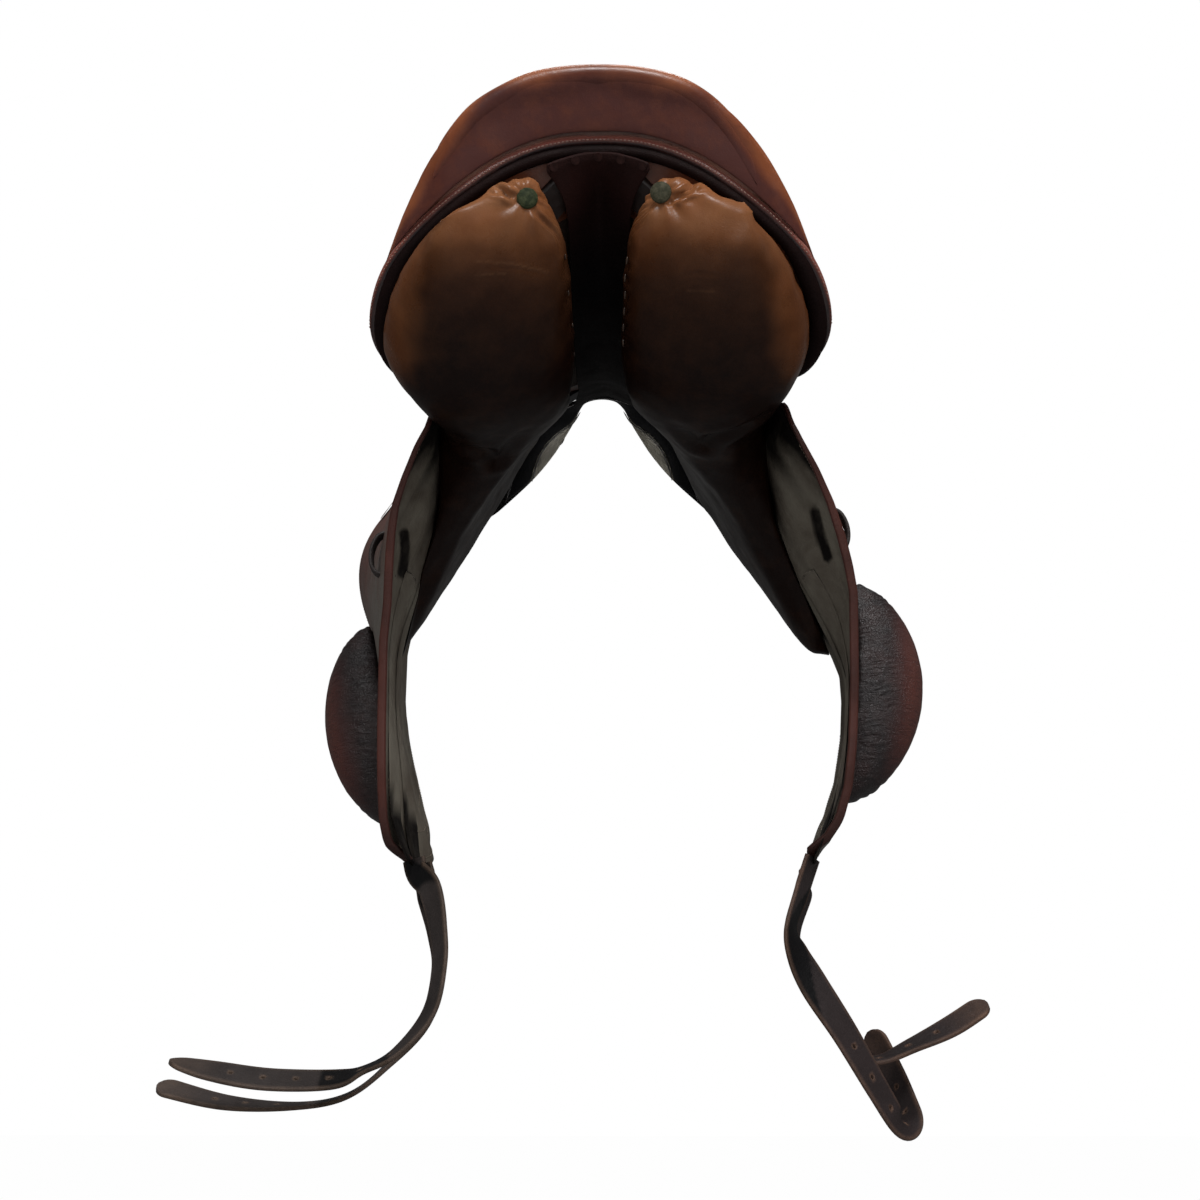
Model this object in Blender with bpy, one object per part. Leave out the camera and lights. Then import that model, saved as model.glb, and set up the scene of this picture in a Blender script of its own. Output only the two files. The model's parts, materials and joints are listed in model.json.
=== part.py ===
# Monoflap saddle. Metres, +Z up, +Y towards the pommel, +X towards the right flap.
# The origin is on the centre plane where a rack's ridge carries the panels.

import math

import bmesh
import bpy
import numpy as np
from mathutils import Matrix, Vector
from mathutils.bvhtree import BVHTree

# Driving dimensions

GAP = 0.0004
SIDES = {"right": 1.0, "left": -1.0}

# Seat guides for the right half, from the rear centre to the front centre
WELT_LINE = [
    (0.0, -0.235, 0.1285),
    (0.035, -0.235, 0.1255),
    (0.070, -0.232, 0.1145),
    (0.102, -0.226, 0.0960),
    (0.140, -0.210, 0.0720),
    (0.177, -0.180, 0.0450),
    (0.194, -0.138, 0.0160),
    (0.181, -0.090, 0.0070),
    (0.152, -0.040, 0.0340),
    (0.131, 0.025, 0.0580),
    (0.116, 0.095, 0.0800),
    (0.097, 0.160, 0.1070),
    (0.067, 0.207, 0.1410),
    (0.0, 0.236, 0.1590),
]
RIM_LINE = [
    (0.0, -0.264, 0.1780),
    (0.089, -0.255, 0.1615),
    (0.131, -0.232, 0.1240),
    (0.155, -0.190, 0.0960),
    (0.167, -0.138, 0.0720),
    (0.158, -0.088, 0.0660),
    (0.139, -0.038, 0.0780),
    (0.118, 0.027, 0.0920),
    (0.103, 0.097, 0.1120),
    (0.083, 0.158, 0.1350),
    (0.052, 0.203, 0.1600),
    (0.0, 0.226, 0.1780),
]
SPINE_LINE = [
    (-0.190, 0.1540),
    (-0.150, 0.1290),
    (-0.100, 0.1030),
    (-0.040, 0.0960),
    (0.030, 0.1030),
    (0.090, 0.1200),
    (0.145, 0.1440),
    (0.188, 0.1640),
]
SEAT_DEPTH_REAR = 0.026
SEAT_DEPTH_FRONT = 0.015
SEAT_STATIONS = 36
SEAT_RISE = 5
SEAT_DISH = 7

WELT_RADIUS = 0.0040
FACING_THICKNESS = 0.0016
FACING_CLEAR = 0.0019
FACING_STATIONS = range(2, 19, 4)

TREE_DEPTH = 0.0080
TREE_WIDTH = 0.0260
LINING_HALF = 0.0265
LINING_THICKNESS = 0.0025
LINING_FLARE = 0.62
LINING_TURN = -0.2265
LINING_LIP = 0.0045
LINING_RISE = 0.0040

# The line on which flaps and skirts fold out, for the right side
HINGE_FRONT = (0.1000, 0.200, 0.1030)
HINGE_REAR = (0.1462, -0.080, 0.0092)

# How the flap falls from that line: side fullness, turn and shift of each side
FLAP_FULL = {"right": 0.100, "left": 0.079}
FLAP_FULL_DEPTH = 0.240
FLAP_CURL = 0.48
FLAP_TURN = {"right": 0.066, "left": 0.120}
FLAP_TURN_LOW = {"right": 0.072, "left": 0.048}
FLAP_TWIST = (0.120, 0.380)
FLAP_SHIFT = -0.0065
FLAP_THICKNESS = 0.0044
FLAP_OUTLINE = [
    (0.060, 0.0520),
    (0.190, 0.0950),
    (0.226, 0.0600),
    (0.238, -0.0400),
    (0.236, -0.1400),
    (0.226, -0.2300),
    (0.204, -0.3200),
    (0.160, -0.3850),
    (0.095, -0.4200),
    (0.035, -0.4170),
    (0.012, -0.3600),
    (0.0, -0.2860),
    (-0.020, -0.2000),
    (-0.050, -0.1150),
    (-0.078, -0.0560),
    (-0.058, -0.0200),
    (-0.020, 0.0220),
]
FLAP_CENTRE = (0.090, -0.170)
WINDOW_Y = (0.046, 0.168)
WINDOW_DEPTH = (0.010, 0.066)

SKIRT_OUTLINE = [
    (0.100, 0.0590),
    (0.196, 0.0930),
    (0.220, 0.0700),
    (0.222, 0.0150),
    (0.190, -0.0300),
    (0.130, -0.0480),
    (0.066, -0.0450),
    (0.020, -0.0240),
    (0.006, 0.0000),
    (0.030, 0.0270),
]
SKIRT_CENTRE = (0.110, 0.0200)
SKIRT_THICKNESS = 0.0030
SKIRT_BULGE = 0.0170

# Panel sections: place along the saddle, inner top, middle, outer bottom, half thickness
PANEL_SECTIONS = [
    (-0.2300, (0.052, 0.0960), (0.088, 0.0820), (0.120, 0.0690), 0.0100),
    (-0.2220, (0.055, 0.0830), (0.088, 0.0690), (0.119, 0.0560), 0.0190),
    (-0.1950, (0.060, 0.0560), (0.092, 0.0440), (0.126, 0.0330), 0.0400),
    (-0.1500, (0.074, 0.0300), (0.099, 0.0150), (0.127, 0.0070), 0.0580),
    (-0.1000, (0.078, 0.0080), (0.098, -0.0050), (0.119, -0.0110), 0.0590),
    (-0.0500, (0.074, 0.0060), (0.090, -0.0060), (0.110, -0.0210), 0.0480),
    (0.0000, (0.063, 0.0240), (0.088, -0.0040), (0.128, -0.0480), 0.0320),
    (0.0600, (0.056, 0.0600), (0.102, 0.0000), (0.178, -0.1150), 0.0230),
    (0.1200, (0.072, 0.0700), (0.119, -0.0100), (0.217, -0.1880), 0.0180),
    (0.1700, (0.086, 0.0800), (0.126, -0.0180), (0.218, -0.1700), 0.0150),
    (0.1880, (0.088, 0.0780), (0.126, -0.0120), (0.213, -0.1500), 0.0080),
]
# Worn difference of the two panels: rear inner, front middle and rear outer shift
PANEL_WEAR = {"right": (-0.0045, -0.004, 0.0), "left": (0.001, 0.007, 0.0065)}
# Extra wool on the outer side of each panel's front, which carries the flap
PANEL_FILL = 0.038
PANEL_FILL_END = (0.130, 0.172)
ROOF_REACH = 0.010
ROOF_GAP = 0.0047
BUTTON_PLACE = {"right": (0.0512, 0.0777), "left": (0.0580, 0.0744)}
BUTTON_RADIUS = 0.0088

# Front arch, right half from the apex down: the padded band runs from a round rear rim
# to a front rim that narrows to an ogee, and the facing before it opens in a bell
ARCH_REAR = [
    (0.0, 0.1215),
    (0.025, 0.1165),
    (0.047, 0.1060),
    (0.067, 0.0900),
    (0.082, 0.0700),
    (0.092, 0.0440),
    (0.099, 0.0200),
    (0.1055, -0.0060),
]
ARCH_FRONT = [
    (0.0, 0.1340),
    (0.0165, 0.1290),
    (0.0250, 0.1150),
    (0.0340, 0.1000),
    (0.0500, 0.0880),
    (0.0650, 0.0700),
    (0.0735, 0.0500),
    (0.0785, 0.0280),
]
ARCH_PLACE = (0.195, 0.215)
ARCH_BAND = 0.0068
ARCH_PAD = 0.0022
ARCH_SHIFT = -0.0040
FACING_INNER = [
    (0.0, 0.1415),
    (0.0165, 0.1370),
    (0.0255, 0.1225),
    (0.0320, 0.1055),
    (0.0480, 0.0750),
    (0.0620, 0.0530),
    (0.0790, 0.0320),
    (0.1000, 0.0110),
    (0.1200, -0.0080),
]
FACING_OUTER = [
    (0.0, 0.1460),
    (0.022, 0.1410),
    (0.044, 0.1270),
    (0.070, 0.1070),
    (0.094, 0.0780),
    (0.112, 0.0500),
    (0.124, 0.0260),
    (0.134, 0.0040),
    (0.144, -0.0220),
]
FACING_PLACE = (0.2230, 0.2280)
HEAD_LINE = [
    (0.0, 0.1275),
    (0.028, 0.1200),
    (0.058, 0.0965),
    (0.088, 0.0630),
    (0.116, 0.0330),
    (0.143, 0.0020),
    (0.159, -0.0280),
]
HEAD_PLATE = (0.0040, 0.168, 0.186)

# Knee block on the outer face of each flap
BLOCK_TOP = {"right": -0.128, "left": -0.158}
BLOCK_BOTTOM = {"right": -0.364, "left": -0.382}
BLOCK_PLACE = 0.142
BLOCK_LEAN = 0.030
BLOCK_HALF = 0.038
BLOCK_THICK = 0.066
BLOCK_SEAM = 0.0014

KEEPER_TOP = -0.130
KEEPER_BOTTOM = -0.176
KEEPER_PLACE = 0.012
KEEPER_WIDTH = 0.012
KEEPER_STAND = 0.0160

STRAP_THICKNESS = 0.0038
BILLET_WIDTH = 0.0270
BILLET_JOINT = -0.422
WEB_TOP = -0.150
WEB_CLEAR = 0.0032

BAR_Y = (0.078, 0.150)
BAR_HEIGHT = (0.0220, 0.0340)
BAR_BLADE = 0.0040
BAR_RAIL = 0.1200
BAR_STAND = 0.1385

NAIL_ANGLES = (-0.037, -0.019, 0.0, 0.019, 0.037)
NAIL_RADIUS = 0.0035
NAIL_STAND = 0.0022

DEE_PLACE = (0.060, 0.0980)
DEE_WIRE = 0.0016
DEE_HALF = 0.0120
DEE_DROP = 0.0170

# Scene clearing and materials

for old in list(bpy.data.objects):
    bpy.data.objects.remove(old, do_unlink=True)

saddle = bpy.data.collections.new("monoflap_saddle")
bpy.context.scene.collection.children.link(saddle)
cutters = bpy.data.collections.new("cutters")
bpy.context.scene.collection.children.link(cutters)


def material(name, colour, roughness, metallic=0.0):
    made = bpy.data.materials.new(name)
    made.use_nodes = True
    shader = made.node_tree.nodes["Principled BSDF"]
    shader.inputs["Base Color"].default_value = (colour[0], colour[1], colour[2], 1.0)
    shader.inputs["Roughness"].default_value = roughness
    shader.inputs["Metallic"].default_value = metallic
    made.diffuse_color = (colour[0], colour[1], colour[2], 1.0)
    return made


LEATHER = {
    "seat": material("seat_leather", (0.125, 0.040, 0.018), 0.38),
    "facing": material("facing_leather", (0.072, 0.024, 0.014), 0.36),
    "welt": material("welt_leather", (0.085, 0.030, 0.020), 0.45),
    "panel": material("panel_leather", (0.095, 0.040, 0.018), 0.36),
    "lining": material("lining_leather", (0.020, 0.011, 0.009), 0.5),
    "band": material("band_leather", (0.006, 0.005, 0.006), 0.5),
    "beige": material("pommel_lining", (0.110, 0.095, 0.075), 0.7),
    "flap": material("flap_leather", (0.072, 0.056, 0.042), 0.55),
    "edge": material("edge_leather", (0.105, 0.032, 0.022), 0.5),
    "skirt": material("skirt_leather", (0.085, 0.038, 0.025), 0.5),
    "block": material("block_leather", (0.026, 0.017, 0.017), 0.5),
    "strap": material("strap_leather", (0.032, 0.024, 0.021), 0.55),
}
STEEL = material("bar_steel", (0.42, 0.42, 0.43), 0.35, 1.0)
PAINTED = material("painted_steel", (0.008, 0.008, 0.009), 0.45, 0.3)
BRASS = material("nail_brass", (0.060, 0.075, 0.055), 0.5, 0.7)
TREE = material("tree_laminate", (0.35, 0.24, 0.14), 0.7)
WEBBING = material("webbing_linen", (0.45, 0.40, 0.32), 0.9)

# Shape helpers

MIRROR = np.array([-1.0, 1.0, 1.0])


def smooth_line(points, count, round_start=False, round_end=False):
    guide = np.array(points, dtype=float)
    before = 2 * guide[0] - guide[1]
    after = 2 * guide[-1] - guide[-2]
    if round_start:
        before = guide[1] * MIRROR
    if round_end:
        after = guide[-2] * MIRROR
    padded = np.vstack([before, guide, after])
    fine = []
    for k in range(len(guide) - 1):
        a, b, c, d = padded[k], padded[k + 1], padded[k + 2], padded[k + 3]
        for step in range(24):
            t = step / 24.0
            fine.append(0.5 * (2 * b + (c - a) * t + (2 * a - 5 * b + 4 * c - d) * t * t
                               + (3 * b - a - 3 * c + d) * t ** 3))
    fine.append(guide[-1])
    return even_line(np.array(fine), count)


def even_line(fine, count):
    step = np.linalg.norm(np.diff(fine, axis=0), axis=1)
    run = np.concatenate([[0.0], np.cumsum(step)])
    want = np.linspace(0.0, run[-1], count)
    return np.stack([np.interp(want, run, fine[:, k]) for k in range(fine.shape[1])], axis=1)


def closed_line(points, count):
    guide = np.array(points, dtype=float)
    total = len(guide)
    fine = []
    for k in range(total):
        a, b, c, d = (guide[(k + m) % total] for m in (-1, 0, 1, 2))
        for step in range(24):
            t = step / 24.0
            fine.append(0.5 * (2 * b + (c - a) * t + (2 * a - 5 * b + 4 * c - d) * t * t
                               + (3 * b - a - 3 * c + d) * t ** 3))
    fine.append(fine[0])
    return even_line(np.array(fine), count + 1)[:-1]


def add_mesh(name, verts, faces, look, angle=40.0, home=None):
    mesh = bpy.data.meshes.new(name)
    mesh.from_pydata([tuple(float(c) for c in v) for v in verts], [], faces)
    work = bmesh.new()
    work.from_mesh(mesh)
    bmesh.ops.remove_doubles(work, verts=work.verts, dist=0.00003)
    bmesh.ops.dissolve_degenerate(work, dist=0.00001, edges=work.edges)
    bmesh.ops.recalc_face_normals(work, faces=work.faces)
    for face in work.faces:
        face.smooth = True
    work.to_mesh(mesh)
    work.free()
    mesh.set_sharp_from_angle(angle=math.radians(angle))
    made = bpy.data.objects.new(name, mesh)
    (home or saddle).objects.link(made)
    if look is not None:
        mesh.materials.append(look)
    return made


def loft(name, rows, look, caps="fan", angle=40.0, home=None):
    verts = []
    for row in rows:
        verts.extend(list(row))
    across = len(rows[0])
    faces = []
    for i in range(len(rows) - 1):
        for j in range(across):
            k = (j + 1) % across
            faces.append((i * across + j, i * across + k, (i + 1) * across + k, (i + 1) * across + j))
    if caps == "fan":
        for i in (0, len(rows) - 1):
            verts.append(np.mean(np.array(rows[i]), axis=0))
            centre = len(verts) - 1
            for j in range(across):
                faces.append((centre, i * across + j, i * across + (j + 1) % across))
    if caps == "flat":
        faces.append(tuple(range(across)))
        faces.append(tuple((len(rows) - 1) * across + j for j in range(across)))
    if caps == "round":
        for j in range(across):
            k = (j + 1) % across
            last = (len(rows) - 1) * across
            faces.append((last + j, last + k, k, j))
    return add_mesh(name, verts, faces, look, angle, home)


def strap_rows(line, widths, width, thickness, corner=0.0009):
    rows = []
    for k in range(len(line)):
        before = line[max(k - 1, 0)]
        after = line[min(k + 1, len(line) - 1)]
        along = (after - before) / np.linalg.norm(after - before)
        wide = widths[k] - along * np.dot(widths[k], along)
        wide = wide / np.linalg.norm(wide)
        face = np.cross(along, wide)
        w = (width[k] if hasattr(width, "__len__") else width) / 2.0
        h = thickness / 2.0
        c = min(corner, h * 0.6, w * 0.6)
        ring = []
        for a, b in ((w, h - c), (w - c, h), (-w + c, h), (-w, h - c),
                     (-w, -h + c), (-w + c, -h), (w - c, -h), (w, -h + c)):
            ring.append(line[k] + wide * a + face * b)
        rows.append(ring)
    return rows


def box(name, low, high, look, home=None):
    (x0, y0, z0), (x1, y1, z1) = low, high
    verts = [(x, y, z) for x in (x0, x1) for y in (y0, y1) for z in (z0, z1)]
    faces = [(0, 1, 3, 2), (4, 6, 7, 5), (0, 4, 5, 1), (2, 3, 7, 6), (0, 2, 6, 4), (1, 5, 7, 3)]
    return add_mesh(name, verts, faces, look, 40.0, home)


def cylinder(name, centre, axis, radius, length, look, sides=20, home=None, tip=1.0):
    axis = np.array(axis, dtype=float)
    axis = axis / np.linalg.norm(axis)
    across = np.cross(axis, (0.31, 0.87, 0.23))
    across = across / np.linalg.norm(across)
    other = np.cross(axis, across)
    rows = []
    for part, size in ((-0.5, 1.0), (0.5, tip)):
        ring = []
        for k in range(sides):
            t = 2 * math.pi * k / sides
            spoke = across * math.cos(t) + other * math.sin(t)
            ring.append(np.array(centre) + axis * part * length + spoke * radius * size)
        rows.append(ring)
    return loft(name, rows, look, "flat", 40.0, home)


def cut(target, tools, mode="DIFFERENCE"):
    for tool in tools:
        step = target.modifiers.new("cut", "BOOLEAN")
        step.operation = mode
        step.solver = "EXACT"
        step.object = tool
    bpy.context.view_layer.update()
    graph = bpy.context.evaluated_depsgraph_get()
    mesh = bpy.data.meshes.new_from_object(target.evaluated_get(graph))
    target.modifiers.clear()
    target.data = mesh
    for tool in tools:
        bpy.data.objects.remove(tool, do_unlink=True)


def tree_of(objects):
    verts = []
    faces = []
    for made in objects:
        first = len(verts)
        verts.extend([v.co.copy() for v in made.data.vertices])
        faces.extend([tuple(first + k for k in face.vertices) for face in made.data.polygons])
    return BVHTree.FromPolygons(verts, faces)


def ceiling(tree, x, y, low=-0.5):
    place, normal, face, distance = tree.ray_cast(Vector((x, y, low)), Vector((0, 0, 1)))
    return place.z if place is not None else None


# Seat: a dished cushion from the welt line over the rim and down to the spine

welt_right = smooth_line(WELT_LINE, SEAT_STATIONS, True, True)
rim_right = smooth_line(RIM_LINE, SEAT_STATIONS, True, True)
spine_all = smooth_line([(0.0, y, z) for y, z in SPINE_LINE], SEAT_STATIONS)


def seat_line(k):
    welt, rim, spine = welt_right[k], rim_right[k], spine_all[k]
    toward = spine - rim
    inner = rim + toward * 0.22
    inner[2] = rim[2] * 0.52 + spine[2] * 0.48 + 0.012 * (1.0 - abs(2.0 * k / (SEAT_STATIONS - 1) - 1.0) ** 2)
    inner[2] = max(inner[2], spine[2] - 0.001)
    middle = rim + toward * 0.60
    middle[2] = spine[2] * 0.86 + inner[2] * 0.14
    shoulder = (welt + rim) * 0.5
    outward = np.array([welt[0] * 0.5, welt[1] - 0.0, 0.0])
    outward = outward / max(np.linalg.norm(outward), 1e-6)
    shoulder = shoulder + outward * 0.005
    fine = smooth_line([welt, shoulder, rim, inner, middle, spine], 81, False, True)
    crest = int(np.argmin(np.linalg.norm(fine - rim, axis=1)))
    return np.vstack([even_line(fine[:crest + 1], SEAT_RISE), even_line(fine[crest:], SEAT_DISH)[1:]])


def seat_depth(k):
    t = k / (SEAT_STATIONS - 1.0)
    return SEAT_DEPTH_REAR + (SEAT_DEPTH_FRONT - SEAT_DEPTH_REAR) * max(0.0, (t - 0.6) / 0.4)


def under_line(k):
    welt, rim = welt_right[k], rim_right[k]
    spine = spine_all[k] - np.array([0, 0, seat_depth(k)])
    side = math.sin(math.pi * k / (SEAT_STATIONS - 1.0))
    lip = welt + (spine - welt) * 0.08
    lip[2] = welt[2] + 0.34 * side * (rim[2] - welt[2]) + 0.08 * (spine[2] - welt[2])
    middle = welt + (spine - welt) * 0.45
    middle[2] = spine[2] - 0.014 * side
    return smooth_line([welt, lip, middle, spine], 6, False, True)


def whole(points):
    return points * MIRROR


seat_rows = []
for k in range(SEAT_STATIONS):
    top = seat_line(k)
    low = under_line(k)
    ring = list(whole(top)) + list(top[::-1][1:]) + list(low[1:]) + list(whole(low)[::-1][1:-1])
    seat_rows.append(ring)
seat = loft("seat_cushion", seat_rows, LEATHER["seat"], "none", 60.0)
seat_tree = tree_of([seat])

# Cantle facing: the layer between the rim seam and the welt, round the rear of the seat


def seat_grid_normal(grid, i, j):
    rows, cols = len(grid), len(grid[0])
    a = grid[min(i + 1, rows - 1)][j] - grid[max(i - 1, 0)][j]
    b = grid[i][min(j + 1, cols - 1)] - grid[i][max(j - 1, 0)]
    n = np.cross(a, b)
    return n / max(np.linalg.norm(n), 1e-9)


def skin(name, grid, inner, outer, look, flip=1.0):
    rows = []
    for i in range(len(grid)):
        near = []
        far = []
        for j in range(len(grid[0])):
            n = seat_grid_normal(grid, i, j) * flip
            near.append(grid[i][j] + n * inner)
            far.append(grid[i][j] + n * outer)
        rows.append(far + near[::-1])
    return loft(name, rows, look, "flat", 50.0)


facing_reach = 14
facing_grid = []
for k in range(facing_reach, -facing_reach - 1, -1):
    line = seat_line(abs(k))
    part = even_line(line[:SEAT_RISE], 21)[list(FACING_STATIONS)]
    facing_grid.append(part if k >= 0 else whole(part))
facing = skin("cantle_facing", facing_grid, FACING_CLEAR, FACING_CLEAR + FACING_THICKNESS, LEATHER["facing"], 1.0)
if seat_grid_normal(facing_grid, facing_reach, 2)[1] > 0:
    bpy.data.objects.remove(facing, do_unlink=True)
    facing = skin("cantle_facing", facing_grid, FACING_CLEAR, FACING_CLEAR + FACING_THICKNESS, LEATHER["facing"], -1.0)

# Welt: a corded edge that runs round the lower line of the seat


def outward_at(k):
    before = welt_right[max(k - 1, 0)]
    after = welt_right[min(k + 1, SEAT_STATIONS - 1)]
    along = after - before
    if k in (0, SEAT_STATIONS - 1):
        along = np.array([1.0 if k == 0 else -1.0, 0.0, 0.0])
    side = np.cross(along, (0, 0, 1.0))
    return side / np.linalg.norm(side)


welt_path = []
for k in range(SEAT_STATIONS):
    away = outward_at(k)
    drop = welt_right[k] - seat_line(k)[1]
    drop = drop / np.linalg.norm(drop)
    out = drop * 0.85 + np.array([0, 0, -0.15])
    welt_path.append(welt_right[k] + out * (WELT_RADIUS + GAP + 0.0034))
welt_path = np.array(welt_path)
welt_loop = np.vstack([welt_path, whole(welt_path)[::-1][1:-1]])
welt_rows = []
for k in range(len(welt_loop)):
    along = welt_loop[(k + 1) % len(welt_loop)] - welt_loop[k - 1]
    along = along / np.linalg.norm(along)
    side = np.cross(along, (0, 0, 1.0))
    side = side / np.linalg.norm(side)
    up = np.cross(side, along)
    welt_rows.append([welt_loop[k] + side * math.cos(t) * WELT_RADIUS + up * math.sin(t) * WELT_RADIUS
                      for t in np.linspace(0, 2 * math.pi, 7)[:-1]])
welt = loft("cantle_welt", welt_rows, LEATHER["welt"], "round", 60.0)

# Tree: rails and cantle board under the seat, with the head plate over the front arch

tree_stations = [k for k in range(SEAT_STATIONS) if welt_right[k][1] < 0.150]


def tree_row(k, mirror):
    welt_place = welt_right[k]
    t = max(0.0, min(1.0, (welt_place[1] + 0.15) / 0.25))
    share = 0.48 - 0.28 * t
    spine = spine_all[k]
    centre = welt_place + (spine - welt_place) * share
    toward = spine - welt_place
    toward[2] = 0.0
    toward = toward / np.linalg.norm(toward)
    top = []
    low = []
    for s in (-0.5, -0.17, 0.17, 0.5):
        p = centre + toward * s * TREE_WIDTH
        z = ceiling(seat_tree, p[0], p[1]) - 0.0023
        top.append(np.array([p[0], p[1], z]))
        low.append(np.array([p[0], p[1], z - TREE_DEPTH]))
    ring = np.array(top + low[::-1])
    return whole(ring) if mirror else ring


tree_rows = [tree_row(k, False) for k in tree_stations[::-1]]
tree_rows += [tree_row(k, True) for k in tree_stations[1:]]
tree = loft("tree_frame", tree_rows, TREE, "flat", 50.0)


def arch_rows(line, band, y0, y1, count=25):
    half = smooth_line([(x, 0.0, z) for x, z in line], count // 2 + 1, True)
    full = np.vstack([whole(half)[::-1][:-1], half])
    rows = []
    for k in range(len(full)):
        along = full[min(k + 1, len(full) - 1)] - full[max(k - 1, 0)]
        along = along / np.linalg.norm(along)
        out = np.array([-along[2], 0.0, along[0]])
        ring = []
        c = min(0.0012, band * 0.3)
        h = band / 2.0
        for r, y in ((h, y0 + c), (h, y1 - c), (h - c, y1), (-h + c, y1),
                     (-h, y1 - c), (-h, y0 + c), (-h + c, y0), (h - c, y0)):
            p = full[k] + out * r
            p[1] = y
            ring.append(p)
        rows.append(ring)
    return rows


head_plate = loft("head_plate", arch_rows(HEAD_LINE, *HEAD_PLATE), PAINTED, "flat")


def shifted(rows):
    return [row + np.array([ARCH_SHIFT, 0.0, 0.0]) for row in rows]


def band_rows(count=19):
    rear = smooth_line([(x, ARCH_PLACE[0], z) for x, z in ARCH_REAR], count, True)
    front = smooth_line([(x, ARCH_PLACE[1], z) for x, z in ARCH_FRONT], count, True)
    rows = []
    for k in range(count):
        along = rear[min(k + 1, count - 1)] - rear[max(k - 1, 0)]
        if k == 0:
            along = np.array([1.0, 0.0, 0.0])
        away = np.cross(front[k] - rear[k], along)
        away = away / np.linalg.norm(away)
        if np.dot(away, (rear[k][0], 0.0, rear[k][2])) < 0:
            away = -away
        middle = (rear[k] + front[k]) / 2.0 - away * ARCH_PAD
        rows.append(np.array([rear[k], middle, front[k], front[k] + away * ARCH_BAND,
                              rear[k] + away * ARCH_BAND]))
    return shifted([whole(row) for row in rows[::-1][:-1]] + rows)


head_lining = loft("head_lining", band_rows(), LEATHER["band"], "flat")


def facing_rows(count=17):
    y0, y1 = FACING_PLACE
    inner = smooth_line([(x, 0.0, z) for x, z in FACING_INNER], count, True)
    outer = smooth_line([(x, 0.0, z) for x, z in FACING_OUTER], count, True)
    rows = []
    for near, far in zip(inner, outer):
        rows.append(np.array([(near[0], y0, near[2]), (near[0], y1, near[2]),
                              (far[0], y1, far[2]), (far[0], y0, far[2])]))
    return shifted([whole(row) for row in rows[::-1][:-1]] + rows)


pommel_facing = loft("pommel_facing", facing_rows(), LEATHER["beige"], "flat")


def sheet_under(name, xs, ys, drop, thickness, droop, look, tree_for, flare=0.0, rise=0.0):
    rows = []
    last = None
    for y in ys:
        top = []
        low = []
        spread = 1.0 + flare * max(0.0, min(1.0, (-0.205 - y) / 0.020))
        raised = rise * max(0.0, min(1.0, (LINING_TURN - y) / LINING_LIP))
        for share in xs / xs[-1]:
            x = share * xs[-1] * spread
            z = ceiling(tree_for, x, min(max(y, -0.229), 0.20))
            z = z - drop - droop * share ** 2 + raised
            top.append(np.array([x, y, z]))
            low.append(np.array([x, y, z - thickness]))
        rows.append(top + low[::-1])
    return loft(name, rows, look, "flat", 50.0)


webbing = sheet_under("seat_webbing", np.linspace(-0.040, 0.040, 5), np.linspace(-0.172, 0.130, 14),
                      0.0032, 0.0018, 0.0, WEBBING, seat_tree)
lining_places = np.concatenate([np.linspace(LINING_TURN - LINING_LIP, LINING_TURN, 4),
                                np.linspace(-0.2100, 0.1560, 18)])
lining = sheet_under("gullet_lining", np.linspace(-LINING_HALF, LINING_HALF, 7), lining_places,
                     0.0140, LINING_THICKNESS, 0.006, LEATHER["lining"], seat_tree,
                     LINING_FLARE, LINING_RISE)

# Nails in the rear edge of the lining

lining_tree = tree_of([lining])
for number, x in enumerate(NAIL_ANGLES, 1):
    y = LINING_TURN - LINING_LIP / 2.0
    spots = [np.array([x + dx, y + dy, ceiling(lining_tree, x + dx, y + dy)])
             for dx, dy in ((-0.003, -0.0015), (0.003, -0.0015), (0.0, 0.0015))]
    normal = np.cross(spots[1] - spots[0], spots[2] - spots[0])
    normal = normal / np.linalg.norm(normal)
    if normal[2] > 0:
        normal = -normal
    middle = np.array([x, y, ceiling(lining_tree, x, y)])
    cylinder("lining_nail_" + str(number), middle + normal * NAIL_STAND, normal,
             NAIL_RADIUS, 0.0016, BRASS, 14)

# Panels: soft bulbs at the rear that thin into the long front panel


def hinge_at(y):
    t = (y - HINGE_REAR[1]) / (HINGE_FRONT[1] - HINGE_REAR[1])
    return (HINGE_REAR[0] + (HINGE_FRONT[0] - HINGE_REAR[0]) * t,
            HINGE_REAR[2] + (HINGE_FRONT[2] - HINGE_REAR[2]) * t)


def flap_x(side, y, z):
    hx, hz = hinge_at(y)
    d = hz - z
    curl = FLAP_CURL if d > FLAP_FULL_DEPTH else 1.0
    drop = FLAP_FULL[side] * (1.0 - curl * (1.0 - d / FLAP_FULL_DEPTH) ** 2)
    ease = 1.0 - math.exp(-max(d, 0.0) / 0.090)
    share = (d - FLAP_TWIST[0]) / (FLAP_TWIST[1] - FLAP_TWIST[0])
    share = max(0.0, min(1.0, share))
    share = share * share * (3.0 - 2.0 * share)
    turn = FLAP_TURN[side] + (FLAP_TURN_LOW[side] - FLAP_TURN[side]) * share
    return hx + drop + ease * (turn * y / 0.2 + FLAP_SHIFT)


def flap_point(side, y, z, out=0.0):
    e = 0.002
    here = np.array([flap_x(side, y, z), y, z])
    dy = np.array([flap_x(side, y + e, z) - flap_x(side, y - e, z), 2 * e, 0.0])
    dz = np.array([flap_x(side, y, z + e) - flap_x(side, y, z - e), 0.0, 2 * e])
    normal = np.cross(dy, dz)
    normal = normal / np.linalg.norm(normal)
    return here + normal * out


def placed(points, side):
    points = np.array(points)
    return points if SIDES[side] > 0 else whole(points)


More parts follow.
